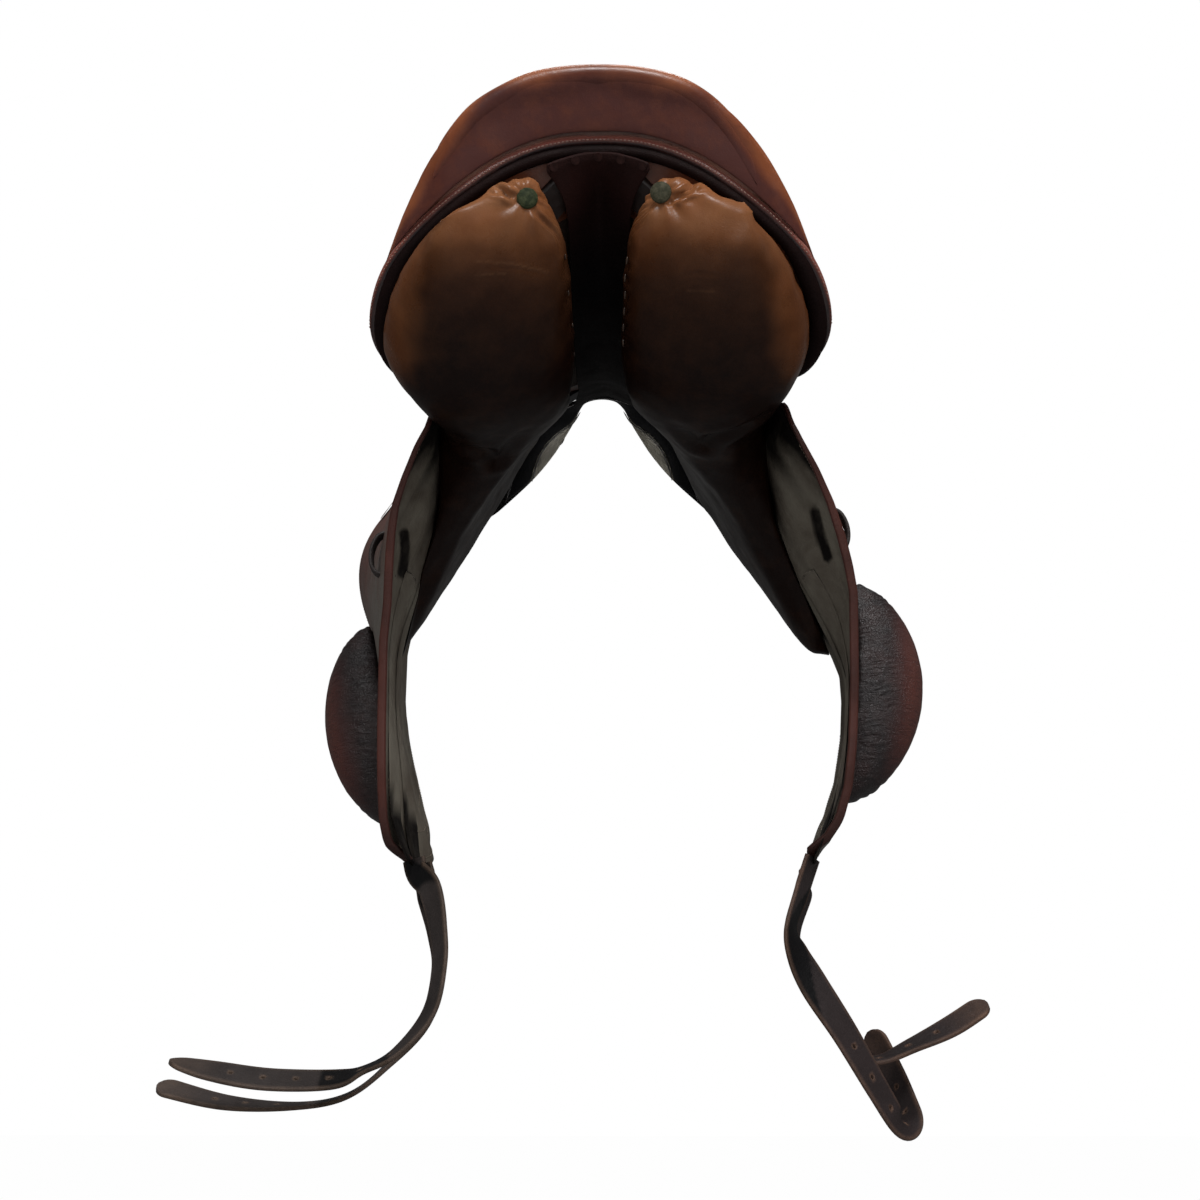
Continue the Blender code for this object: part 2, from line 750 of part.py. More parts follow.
def panel_ring(section, side, count=20):
    y, a, m, b, t = section
    rear = max(0.0, min(1.0, -y / 0.1))
    front = max(0.0, min(1.0, (y + 0.02) / 0.1))
    inner_shift, middle_shift, outer_shift = PANEL_WEAR[side]
    fade = (PANEL_FILL_END[1] - y) / (PANEL_FILL_END[1] - PANEL_FILL_END[0])
    stuffed = PANEL_FILL * front * max(0.0, min(1.0, fade))
    line = smooth_line([(a[0] + inner_shift * rear, a[1]), (m[0] + middle_shift * front, m[1]),
                        (b[0] + outer_shift * rear, b[1])], 9)
    outer = []
    inner = []
    for k in range(len(line)):
        along = line[min(k + 1, 8)] - line[max(k - 1, 0)]
        along = along / np.linalg.norm(along)
        n = np.array([-along[1], along[0]])
        fill = stuffed * math.sin(math.pi * (k / 8.0) ** 1.8)
        outer.append(line[k] + n * (t + fill))
        inner.append(line[k] - n * t)
    first = line[1] - line[0]
    first = first / np.linalg.norm(first)
    last = line[-1] - line[-2]
    last = last / np.linalg.norm(last)
    n0 = np.array([-first[1], first[0]])
    n1 = np.array([-last[1], last[0]])
    start = [line[0] - first * t * math.sin(q) - n0 * t * math.cos(q) for q in np.linspace(0, math.pi, 7)[1:-1]]
    end = [line[-1] + last * t * math.sin(q) + n1 * t * math.cos(q) for q in np.linspace(0, math.pi, 7)[1:-1]]
    ring = outer + end + inner[::-1] + start
    ring.append(ring[0])
    even = even_line(np.array(ring), 27)[:-1]
    return np.array([(p[0], y, p[1]) for p in even])


def low_roof(tree_for, x, y):
    found = []
    for dx, dy in ((0, 0), (ROOF_REACH, 0), (-ROOF_REACH, 0), (0, ROOF_REACH), (0, -ROOF_REACH)):
        z = ceiling(tree_for, x + dx, y + dy)
        if z is not None:
            found.append(z)
    return min(found) if found else None


nails = [bpy.data.objects["lining_nail_" + str(number)] for number in range(1, 6)]
roof = tree_of([seat, tree, lining, head_plate, webbing, welt] + nails)
panel_stations = 24
for side in SIDES:
    numbers = []
    for section in PANEL_SECTIONS:
        y, a, m, b, t = section
        numbers.append((y,) + a + m + b + (t,))
    sections = smooth_line([tuple(n) for n in numbers], panel_stations)
    rows = []
    for n in sections:
        ring = panel_ring((n[0], (n[1], n[2]), (n[3], n[4]), (n[5], n[6]), n[7]), side)
        kept = []
        for p in ring:
            x, y, z = p
            z_roof = low_roof(roof, x * SIDES[side], y)
            if z_roof is not None:
                z = min(z, z_roof - ROOF_GAP)
            hx, hz = hinge_at(y)
            if z < hz + 0.004:
                edge = flap_x(side, y, z) - 0.0084 + 2.5 * max(0.0, -0.085 - y)
                if y > BAR_Y[0] - 0.020 and z > BAR_HEIGHT[0] - 0.030:
                    edge = min(edge, BAR_RAIL - 0.0030)
                x = min(x, edge)
            kept.append((x, y, z))
        rows.append(placed(kept, side))
    first = np.mean(np.array(rows[0]), axis=0)
    start = [first + (p - first) * 0.55 + np.array([0, -0.0035, 0]) for p in rows[0]]
    last = np.mean(np.array(rows[-1]), axis=0)
    loft("panel_" + side, [start] + rows, LEATHER["panel"], "fan", 60.0)



def from_behind(tree_for, x, z):
    place, normal, face, distance = tree_for.ray_cast(Vector((x, -0.5, z)), Vector((0, 1, 0)))
    return np.array(place) if place is not None else None


for side in SIDES:
    shape = tree_of([bpy.data.objects["panel_" + side]])
    x, z = BUTTON_PLACE[side][0] * SIDES[side], BUTTON_PLACE[side][1]
    middle = from_behind(shape, x, z)
    spots = [from_behind(shape, x + dx, z + dz) for dx, dz in ((-0.006, -0.005), (0.006, -0.005), (0.0, 0.006))]
    normal = np.cross(spots[1] - spots[0], spots[2] - spots[0])
    normal = normal / np.linalg.norm(normal)
    if normal[1] > 0:
        normal = -normal
    a = np.cross(normal, (1, 0, 0))
    a = a / np.linalg.norm(a)
    b = np.cross(normal, a)
    depth = 0.0
    for k in range(24):
        t = 2 * math.pi * k / 24
        q = middle + (a * math.cos(t) + b * math.sin(t)) * BUTTON_RADIUS
        found = from_behind(shape, q[0], q[2])
        if found is not None:
            depth = max(depth, np.dot(found - middle, normal))
    lift = depth + GAP
    rows = []
    for r, h in ((1.0, 0.0), (1.0, 0.0010), (0.93, 0.0022), (0.70, 0.0032), (0.35, 0.0037)):
        ring = []
        for k in range(20):
            t = 2 * math.pi * k / 20
            ring.append(middle + normal * (lift + h) + (a * math.cos(t) + b * math.sin(t)) * BUTTON_RADIUS * r)
        rows.append(ring)
    loft("panel_button_" + side, rows, BRASS, "fan", 50.0)

# Flaps, with the window for the stirrup bar, their edge strips, blocks and keepers


def sheet_rows(side, outline, centre, thickness, out_at, rings, count):
    loop = closed_line(outline, count)
    middle = np.array(centre)
    rows = []
    for sign in (1.0, -1.0):
        shares = np.linspace(0.0, 1.0, rings + 1)[1:]
        if sign < 0:
            shares = shares[::-1]
        for share in shares:
            ring = []
            for p in loop:
                q = middle + (p - middle) * share
                offset = out_at(q[0], q[1])
                ring.append(flap_point(side, q[0], q[1], offset + sign * thickness / 2.0))
            rows.append(placed(ring, side))
    return rows


def window_tool(side):
    rows = []
    centre_y = (WINDOW_Y[0] + WINDOW_Y[1]) / 2.0
    half_y = (WINDOW_Y[1] - WINDOW_Y[0]) / 2.0
    mid = (WINDOW_DEPTH[0] + WINDOW_DEPTH[1]) / 2.0
    half = (WINDOW_DEPTH[1] - WINDOW_DEPTH[0]) / 2.0
    for x in (0.085, 0.200):
        ring = []
        for k in range(24):
            t = 2 * math.pi * k / 24
            c, s = math.cos(t), math.sin(t)
            y = centre_y + half_y * math.copysign(abs(c) ** 0.35, c)
            z = hinge_at(y)[1] - mid + half * math.copysign(abs(s) ** 0.45, s)
            ring.append((x, y, z))
        rows.append(placed(ring, side))
    return loft("window_" + side, rows, None, "flat", 40.0, cutters)


for side in SIDES:
    flap = loft("flap_" + side, sheet_rows(side, FLAP_OUTLINE, FLAP_CENTRE, FLAP_THICKNESS,
                                           lambda y, z: 0.0, 5, 52), LEATHER["flap"], "fan", 40.0)
    slots = []
    for z in (KEEPER_TOP - 0.003, KEEPER_BOTTOM + 0.003):
        middle = flap_point(side, KEEPER_PLACE, z)
        low = (middle[0] - 0.010, KEEPER_PLACE - KEEPER_WIDTH / 2 - 0.0015, z - 0.0035)
        high = (middle[0] + 0.010, KEEPER_PLACE + KEEPER_WIDTH / 2 + 0.0015, z + 0.0035)
        low, high = placed([low, high], side)
        slots.append(box("slot", np.minimum(low, high), np.maximum(low, high), None, cutters))
    cut(flap, [window_tool(side)] + slots)

    # Edge strip on the outer face, just inside the rear and lower edge
    loop = closed_line(FLAP_OUTLINE, 160)
    middle = np.array(FLAP_CENTRE)
    low_part = [p for p in loop if p[0] < 0.150 and p[1] < -0.040]
    low_part.sort(key=lambda p: math.atan2(p[1] + 0.17, p[0] - 0.16) % (2 * math.pi))
    rows = []
    path = [middle + (p - middle) * 0.972 for p in low_part]
    line = []
    widths = []
    for k, p in enumerate(path):
        line.append(flap_point(side, p[0], p[1], FLAP_THICKNESS / 2 + GAP + 0.0018))
        inward = middle - p
        inner = p + inward / np.linalg.norm(inward) * 0.004
        widths.append(flap_point(side, inner[0], inner[1]) - flap_point(side, p[0], p[1]))
    line = even_line(np.array(line), 30)
    widths = even_line(np.array(widths), 30)
    rows = strap_rows(placed(line, side), placed(widths, side), 0.0085, 0.0022, 0.0007)
    loft("flap_edge_" + side, rows, LEATHER["edge"], "flat", 40.0)

    # Knee block: a D in section, thickest at its middle
    rows = []
    for s in np.linspace(0.0, 1.0, 15):
        u = 0.015 + 0.97 * s
        full = math.sin(math.pi * u) ** 0.55
        z_mid = BLOCK_TOP[side] + (BLOCK_BOTTOM[side] - BLOCK_TOP[side]) * u
        half = BLOCK_HALF * math.sin(math.pi * u) ** 0.40
        thick = BLOCK_THICK * full
        ring = []
        base = FLAP_THICKNESS / 2 + BLOCK_SEAM
        for t in np.linspace(0.0, math.pi, 11):
            y = BLOCK_PLACE - BLOCK_LEAN * (u - 0.5) + half * math.cos(t)
            out = base + thick * math.sin(t) ** 0.75
            ring.append(flap_point(side, y, z_mid, out))
        for t in np.linspace(-0.5, 0.5, 3):
            y = BLOCK_PLACE - BLOCK_LEAN * (u - 0.5) + half * t
            ring.append(flap_point(side, y, z_mid, base))
        rows.append(placed(ring, side))
    loft("knee_block_" + side, rows, LEATHER["block"], "fan", 50.0)

    # Keeper: a short strap that stands off the flap, its ends through two slots
    ends = 0.0070
    points = [
        flap_point(side, KEEPER_PLACE, KEEPER_TOP - 0.003, -FLAP_THICKNESS / 2 - 0.006),
        flap_point(side, KEEPER_PLACE, KEEPER_TOP - 0.003, FLAP_THICKNESS / 2 + 0.003),
        flap_point(side, KEEPER_PLACE, KEEPER_TOP - 0.008, KEEPER_STAND * 0.8),
        flap_point(side, KEEPER_PLACE, (KEEPER_TOP + KEEPER_BOTTOM) / 2, KEEPER_STAND),
        flap_point(side, KEEPER_PLACE, KEEPER_BOTTOM + 0.008, KEEPER_STAND * 0.8),
        flap_point(side, KEEPER_PLACE, KEEPER_BOTTOM + 0.003, FLAP_THICKNESS / 2 + 0.003),
        flap_point(side, KEEPER_PLACE, KEEPER_BOTTOM + 0.003, -FLAP_THICKNESS / 2 - 0.006),
    ]
    line = placed(smooth_line(points, 17), side)
    widths = np.array([(0.0, 1.0, 0.0)] * 17)
    loft("keeper_" + side, strap_rows(line, widths, KEEPER_WIDTH, 0.0022), LEATHER["strap"], "flat")

    # Skirt over the stirrup bar
    def skirt_out(y, z):
        d = hinge_at(y)[1] - z
        lift = SKIRT_BULGE * math.sin(math.pi * min(1.0, max(0.0, d / 0.110))) ** 0.6
        return FLAP_THICKNESS / 2 + GAP + SKIRT_THICKNESS / 2 + 0.0006 + lift

    loft("skirt_" + side, sheet_rows(side, SKIRT_OUTLINE, SKIRT_CENTRE, SKIRT_THICKNESS,
                                     skirt_out, 4, 34), LEATHER["skirt"], "fan", 40.0)

# Stirrup bars with their hinged catches

for side in SIDES:
    y0, y1 = BAR_Y
    z0, z1 = BAR_HEIGHT
    rail = BAR_RAIL
    blade = BAR_STAND
    parts = [
        ((rail, y0 + 0.012, z0 - 0.002), (rail + 0.004, y1 + 0.010, z1 + 0.006)),
        ((rail + 0.0035, y1 - 0.006, z0), (blade, y1 + 0.004, z1)),
        ((blade - 0.0005, y0, z0), (blade + BAR_BLADE, y1 + 0.004, z1)),
    ]
    solids = []
    for low, high in parts:
        low, high = placed([low, high], side)
        solids.append(box("stirrup_bar_" + side, np.minimum(low, high), np.maximum(low, high), STEEL))
    bar = solids[0]
    cut(bar, solids[1:], "UNION")
    bar.name = "stirrup_bar_" + side
    centre_z = (z0 + z1) / 2
    pin = np.array([blade + BAR_BLADE / 2, y0 - GAP - 0.0052, centre_z])
    ring = []
    for t in np.linspace(-math.pi / 2, math.pi / 2, 9):
        ring.append((pin[1] + 0.0050 * math.cos(t), pin[2] + 0.0050 * math.sin(t)))
    ring += [(pin[1] - 0.016, pin[2] + 0.0042), (pin[1] - 0.0205, pin[2] + 0.0065),
             (pin[1] - 0.0215, pin[2] + 0.0020), (pin[1] - 0.018, pin[2] - 0.0050)]
    rows = []
    for x in (pin[0] - BAR_BLADE / 2, pin[0] + BAR_BLADE / 2):
        rows.append(placed([(x, y, z) for y, z in ring], side))
    loft("bar_catch_" + side, rows, STEEL, "flat", 40.0)

# Billets and the webs that carry them between panel and flap

# Guide points of each billet below the flap: place (y, z, x) and the strap's turn in degrees,
# 0 where its width lies along the saddle and 90 where it stands across
BILLETS = {
    "left": {
        "front": [(0.060, -0.448, 0.156, 40), (0.056, -0.480, 0.147, 32), (0.046, -0.512, 0.142, 30),
                  (0.042, -0.555, 0.151, 26), (0.044, -0.590, 0.181, 12), (0.048, -0.614, 0.214, 8),
                  (0.049, -0.6220, 0.256, 7), (0.048, -0.6195, 0.315, 18), (0.045, -0.6060, 0.374, 26)],
        "rear": [(0.022, -0.448, 0.149, 40), (0.016, -0.480, 0.140, 32), (0.007, -0.512, 0.136, 30),
                 (0.004, -0.550, 0.143, 28), (0.004, -0.580, 0.168, 18), (0.006, -0.5935, 0.193, 12),
                 (0.006, -0.6010, 0.217, 38), (0.002, -0.6010, 0.270, 44), (-0.006, -0.5870, 0.349, 42)],
    },
    "right": {
        "front": [(0.060, -0.448, 0.178, 24), (0.048, -0.485, 0.166, 18), (0.038, -0.520, 0.175, 20),
                  (0.032, -0.555, 0.194, 22), (0.030, -0.582, 0.212, 14), (0.030, -0.586, 0.228, 10),
                  (0.030, -0.5745, 0.256, 18), (0.030, -0.560, 0.288, 34), (0.030, -0.541, 0.320, 44)],
        "rear": [(0.026, -0.450, 0.170, 30), (0.014, -0.478, 0.159, 24), (0.008, -0.500, 0.161, 46),
                 (0.004, -0.528, 0.173, 68), (0.002, -0.566, 0.196, 58), (0.001, -0.608, 0.219, 48),
                 (0.008, -0.634, 0.236, 42), (0.038, -0.629, 0.248, 36), (0.060, -0.602, 0.245, 36),
                 (0.068, -0.562, 0.228, 40)],
    },
}
BILLET_PLACE = {"front": 0.072, "rear": 0.036}
# A turn counts this much length for each degree where a strap's course is spaced evenly
TURN_SCALE = 0.00001

for side in SIDES:
    for which, base_y in BILLET_PLACE.items():
        behind = -FLAP_THICKNESS / 2 - STRAP_THICKNESS / 2 - WEB_CLEAR
        run = []
        widths = []
        for z in np.linspace(WEB_TOP, BILLET_JOINT + 0.0030, 9):
            run.append(flap_point(side, base_y, z, behind))
            widths.append(flap_point(side, base_y + 0.012, z) - flap_point(side, base_y - 0.012, z))
        start = np.array(widths[-1]) / np.linalg.norm(widths[-1])
        loft("billet_web_" + which + "_" + side,
             strap_rows(placed(run, side), placed(widths, side), BILLET_WIDTH, STRAP_THICKNESS),
             WEBBING, "flat")
        low = flap_point(side, base_y, BILLET_JOINT, behind)
        second = flap_point(side, base_y, BILLET_JOINT - 0.012, behind)
        first = TURN_SCALE * math.degrees(math.atan2(start[0], start[1]))
        guide = [(*low, first), (*second, first)]
        guide += [(x, y, z, TURN_SCALE * degrees) for y, z, x, degrees in BILLETS[side][which]]
        course = smooth_line(guide, 34)
        line = course[:, :3]
        widths = []
        for k in range(34):
            along = line[min(k + 1, 33)] - line[max(k - 1, 0)]
            along = along / np.linalg.norm(along)
            angle = math.radians(course[k][3] / TURN_SCALE)
            level = np.array([0.0, 1.0, 0.0])
            widths.append(level * math.cos(angle) + np.cross(along, level) * math.sin(angle))
        width = np.full(34, BILLET_WIDTH)
        width[-3:] = BILLET_WIDTH * np.array([0.94, 0.76, 0.34])
        rows = strap_rows(placed(line, side), placed(widths, side), width, STRAP_THICKNESS)
        loft("billet_" + which + "_" + side, rows, LEATHER["strap"], "flat", 40.0)

# Dee rings on staples at the front of the pommel

for side in SIDES:
    x, z = DEE_PLACE
    front = FACING_PLACE[1] + GAP
    plate = box("dee_staple_" + side, *[tuple(v) for v in (
        np.minimum(*placed([(x - 0.010, front, z - 0.008), (x + 0.010, front + 0.0015, z + 0.008)], side)),
        np.maximum(*placed([(x - 0.010, front, z - 0.008), (x + 0.010, front + 0.0015, z + 0.008)], side)))],
        STEEL)
    axis_y = front + 0.0015 + 0.0030
    rows = []
    for t in np.linspace(-1.0, math.pi + 1.0, 13):
        centre = np.array([x, axis_y + 0.0042 * math.sin(t), z + 0.0042 * math.cos(t)])
        out = np.array([0.0, math.sin(t), math.cos(t)])
        ring = []
        for q in np.linspace(0, 2 * math.pi, 7)[:-1]:
            ring.append(centre + out * 0.0013 * math.cos(q) + np.array([0.0020 * math.sin(q), 0, 0]))
        rows.append(placed(ring, side))
    loop = loft("loop_" + side, rows, STEEL, "flat", 50.0)
    cut(plate, [loop], "UNION")
    path = []
    for t in np.linspace(-1.0, 1.0, 5):
        path.append((x + DEE_HALF * t, 0.0, z))
    for t in np.linspace(0.0, math.pi, 15)[1:-1]:
        path.append((x + DEE_HALF * math.cos(t), 0.0, z - DEE_DROP * math.sin(t) ** 0.8))
    rows = []
    path = np.array(path)
    for k in range(len(path)):
        along = path[(k + 1) % len(path)] - path[k - 1]
        along = along / np.linalg.norm(along)
        side_way = np.array([0.0, 1.0, 0.0])
        other = np.cross(along, side_way)
        ring = []
        for q in np.linspace(0, 2 * math.pi, 7)[:-1]:
            p = path[k] + side_way * DEE_WIRE * math.cos(q) + other * DEE_WIRE * math.sin(q)
            ring.append((p[0], p[1] + axis_y, p[2]))
        rows.append(placed(ring, side))
    loft("dee_ring_" + side, rows, STEEL, "round", 50.0)

# Pommel nails, one on each side of the seat front

for side in SIDES:
    row = seat_line(SEAT_STATIONS - 9)
    p = row[4]
    q = row[5]
    n = seat_line(SEAT_STATIONS - 8)[4]
    normal = np.cross(q - p, n - p)
    normal = normal / np.linalg.norm(normal)
    if normal[2] < 0:
        normal = -normal
    centre = placed([p + normal * (GAP + 0.0016)], side)[0]
    axis = placed([normal], side)[0]
    cylinder("pommel_nail_" + side, centre, axis, 0.0060, 0.0022, BRASS, 18, None, 0.72)

# Empties on the joint axes carry what moves


def carry(name, place, members, parent=None):
    empty = bpy.data.objects.new(name, None)
    saddle.objects.link(empty)
    if parent is not None:
        empty.parent = parent
        empty.location = Vector(place) - parent_place[parent.name]
    else:
        empty.location = Vector(place)
    parent_place[name] = Vector(place)
    for member in members:
        made = bpy.data.objects[member]
        made.parent = empty
        made.matrix_parent_inverse = Matrix.Translation(-Vector(place))
    return empty


parent_place = {}
for side in SIDES:
    middle = [(a + b) / 2 for a, b in zip(HINGE_FRONT, HINGE_REAR)]
    flap_axis = carry("axis_flap_" + side, placed([middle], side)[0],
                      ["flap_" + side, "flap_edge_" + side, "knee_block_" + side, "keeper_" + side])
    carry("axis_skirt_" + side, placed([middle], side)[0], ["skirt_" + side], flap_axis)
    catch_pin = (BAR_STAND + BAR_BLADE / 2, BAR_Y[0] - GAP - 0.0052, sum(BAR_HEIGHT) / 2)
    carry("axis_catch_" + side, placed([catch_pin], side)[0], ["bar_catch_" + side])
    dee_pin = (DEE_PLACE[0], FACING_PLACE[1] + GAP + 0.0015 + 0.0030, DEE_PLACE[1])
    carry("axis_dee_" + side, placed([dee_pin], side)[0], ["dee_ring_" + side])
    for which, base_y in BILLET_PLACE.items():
        behind = -FLAP_THICKNESS / 2 - STRAP_THICKNESS / 2 - WEB_CLEAR
        top = flap_point(side, base_y, BILLET_JOINT, behind)
        carry("axis_billet_" + which + "_" + side, placed([top], side)[0],
              ["billet_" + which + "_" + side])
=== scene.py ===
import bpy
import bmesh
import json
import math
import numpy as np
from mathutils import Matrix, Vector, noise
from mathutils.bvhtree import BVHTree

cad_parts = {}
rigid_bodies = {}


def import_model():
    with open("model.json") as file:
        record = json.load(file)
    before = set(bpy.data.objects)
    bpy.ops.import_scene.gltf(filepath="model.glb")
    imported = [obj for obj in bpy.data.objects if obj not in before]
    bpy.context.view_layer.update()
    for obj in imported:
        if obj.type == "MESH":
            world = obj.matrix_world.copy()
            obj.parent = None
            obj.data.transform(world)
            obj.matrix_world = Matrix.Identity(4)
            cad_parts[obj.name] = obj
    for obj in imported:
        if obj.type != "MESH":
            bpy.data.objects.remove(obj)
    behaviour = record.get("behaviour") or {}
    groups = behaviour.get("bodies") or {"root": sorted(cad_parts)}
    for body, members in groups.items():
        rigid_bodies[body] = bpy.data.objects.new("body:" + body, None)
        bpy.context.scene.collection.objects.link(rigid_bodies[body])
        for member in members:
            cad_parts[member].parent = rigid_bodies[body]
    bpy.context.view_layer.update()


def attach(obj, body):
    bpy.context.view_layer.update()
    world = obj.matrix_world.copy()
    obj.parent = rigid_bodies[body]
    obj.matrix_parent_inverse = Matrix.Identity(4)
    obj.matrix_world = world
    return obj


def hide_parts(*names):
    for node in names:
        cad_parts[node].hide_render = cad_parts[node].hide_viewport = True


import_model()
scene = bpy.context.scene
sides = {"left": -1.0, "right": 1.0}
mirror = np.array([-1.0, 1.0, 1.0])
print("stage: frame loaded")

# Camera at the photograph's place, behind the saddle and below its seat

cameraView = {
    "place": (0.0169, -1.1103, -0.5963),
    "tilt": 20.0,
    "turn": 1.0,
    "lens": 39.0,
}
cameraData = bpy.data.cameras.new("camera")
cameraData.lens = cameraView["lens"]
cameraData.sensor_width = 36.0
cameraData.clip_end = 50.0
camera = bpy.data.objects.new("camera", cameraData)
camera.location = cameraView["place"]
camera.rotation_euler = (math.radians(90.0 + cameraView["tilt"]), 0.0, math.radians(cameraView["turn"]))
scene.collection.objects.link(camera)
scene.camera = camera
scene.view_settings.view_transform = "Standard"

# Room: pale floor and backdrop, white to the camera, with soft lamps

roomLook = {
    "floorHeight": -1.02,
    "floorColour": (0.30, 0.30, 0.30),
    "worldLevel": 0.08,
    "seenShare": 0.99,
    "glossShare": 0.06,
}


def seenShare(nodes, links, seen, gloss):
    # how much of the plain white is shown to the camera, to mirrors and through glass
    path = nodes.new("ShaderNodeLightPath")
    total = None
    for name, level in (("Is Camera Ray", seen), ("Is Glossy Ray", gloss), ("Is Transmission Ray", seen)):
        part = nodes.new("ShaderNodeMath")
        part.operation = "MULTIPLY"
        part.inputs[1].default_value = level
        links.new(path.outputs[name], part.inputs[0])
        if total is not None:
            both = nodes.new("ShaderNodeMath")
            both.operation = "MAXIMUM"
            links.new(total, both.inputs[0])
            links.new(part.outputs[0], both.inputs[1])
            total = both.outputs[0]
        else:
            total = part.outputs[0]
    return total


def floorMaterial(v):
    made = bpy.data.materials.new("paleFloor")
    made.use_nodes = True
    nodes, links = made.node_tree.nodes, made.node_tree.links
    shader = nodes["Principled BSDF"]
    shader.inputs["Base Color"].default_value = (*v["floorColour"], 1.0)
    shader.inputs["Roughness"].default_value = 0.9
    white = nodes.new("ShaderNodeEmission")
    white.inputs["Strength"].default_value = 1.0
    share = seenShare(nodes, links, v["seenShare"], v["glossShare"])
    mix = nodes.new("ShaderNodeMixShader")
    links.new(share, mix.inputs[0])
    links.new(shader.outputs[0], mix.inputs[1])
    links.new(white.outputs[0], mix.inputs[2])
    links.new(mix.outputs[0], nodes["Material Output"].inputs["Surface"])
    return made


def makeRoom(v):
    mesh = bpy.data.meshes.new("floor")
    size = 9.0
    z = v["floorHeight"]
    mesh.from_pydata([(-size, -size, z), (size, -size, z), (size, size, z), (-size, size, z)], [], [(0, 1, 2, 3)])
    mesh.materials.append(floorMaterial(v))
    floor = bpy.data.objects.new("floor", mesh)
    scene.collection.objects.link(floor)
    world = bpy.data.worlds.new("studioAir")
    scene.world = world
    world.use_nodes = True
    nodes, links = world.node_tree.nodes, world.node_tree.links
    soft = nodes["Background"]
    soft.inputs["Color"].default_value = (1.0, 0.99, 0.97, 1.0)
    soft.inputs["Strength"].default_value = v["worldLevel"]
    white = nodes.new("ShaderNodeBackground")
    white.inputs["Color"].default_value = (1.0, 1.0, 1.0, 1.0)
    white.inputs["Strength"].default_value = 1.0
    mix = nodes.new("ShaderNodeMixShader")
    links.new(seenShare(nodes, links, 1.0, v["glossShare"]), mix.inputs[0])
    links.new(soft.outputs[0], mix.inputs[1])
    links.new(white.outputs[0], mix.inputs[2])
    links.new(mix.outputs[0], nodes["World Output"].inputs["Surface"])


def addLamp(name, place, aim, size, power, glossy=True, diffuse=True):
    data = bpy.data.lights.new(name, "AREA")
    data.shape = "RECTANGLE"
    data.size, data.size_y = size
    data.energy = power
    lamp = bpy.data.objects.new(name, data)
    lamp.location = place
    lamp.rotation_euler = (Vector(aim) - Vector(place)).to_track_quat("-Z", "Y").to_euler()
    lamp.visible_glossy = glossy
    lamp.visible_diffuse = diffuse
    scene.collection.objects.link(lamp)


makeRoom(roomLook)
addLamp("keyLamp", (0.30, -1.6, 1.30), (0.0, -0.15, 0.05), (1.0, 0.5), 33.0, False)
addLamp("leftLamp", (-1.6, -1.2, 0.45), (0.0, -0.1, -0.1), (0.7, 1.2), 11.5, False)
addLamp("rightLamp", (1.6, -1.3, 0.35), (0.0, -0.1, -0.1), (0.7, 1.2), 12.5, False)
addLamp("lowLamp", (0.0, -1.7, -0.75), (0.0, 0.0, -0.2), (1.2, 0.6), 5.5, False)
addLamp("frontLamp", (0.3, 2.0, 1.3), (0.0, 0.1, 0.0), (1.4, 1.0), 20.0, False)
addLamp("topLamp", (0.12, -0.50, 1.75), (0.0, -0.2, 0.05), (0.9, 0.22), 16.0)
addLamp("bulbLamp", (0.05, -1.57, 0.71), (0.0, -0.22, 0.09), (0.40, 0.12), 26.0, True, False)
addLamp("rimLamp", (0.0, 0.30, 1.70), (0.0, -0.22, 0.19), (0.9, 0.12), 5.0, True, False)
print("stage: room and lamps")

# Lines, as they were drawn for the frame


def evenLine(fine, count):
    step = np.linalg.norm(np.diff(fine, axis=0), axis=1)
    run = np.concatenate([[0.0], np.cumsum(step)])
    want = np.linspace(0.0, run[-1], count)
    return np.stack([np.interp(want, run, fine[:, k]) for k in range(fine.shape[1])], axis=1)


def curveThrough(guide, order, count):
    fine = []
    for a, b, c, d in order:
        a, b, c, d = (guide[n] for n in (a, b, c, d))
        for step in range(24):
            t = step / 24.0
            fine.append(0.5 * (2 * b + (c - a) * t + (2 * a - 5 * b + 4 * c - d) * t * t
                               + (3 * b - a - 3 * c + d) * t ** 3))
    return fine


def smoothLine(points, count, mirrorStart=False, mirrorEnd=False):
    guide = np.array(points, dtype=float)
    before = guide[1] * mirror if mirrorStart else 2 * guide[0] - guide[1]
    after = guide[-2] * mirror if mirrorEnd else 2 * guide[-1] - guide[-2]
    padded = np.vstack([before, guide, after])
    order = [(k, k + 1, k + 2, k + 3) for k in range(len(guide) - 1)]
    return evenLine(np.array(curveThrough(padded, order, count) + [guide[-1]]), count)


def closedLine(points, count):
    guide = np.array(points, dtype=float)
    total = len(guide)
    order = [tuple((k + m) % total for m in (-1, 0, 1, 2)) for k in range(total)]
    return evenLine(np.array(curveThrough(guide, order, count) + [guide[0]]), count + 1)[:-1]


def placed(points, side):
    points = np.array(points)
    return points if sides[side] > 0 else points * mirror


def soften(a, b, x):
    t = np.clip((np.asarray(x, dtype=float) - a) / (b - a), 0.0, 1.0)
    return t * t * (3 - 2 * t)


def unit(v):
    v = np.asarray(v, dtype=float)
    return v / np.maximum(np.linalg.norm(v, axis=-1, keepdims=True), 1e-9)


# Meshes


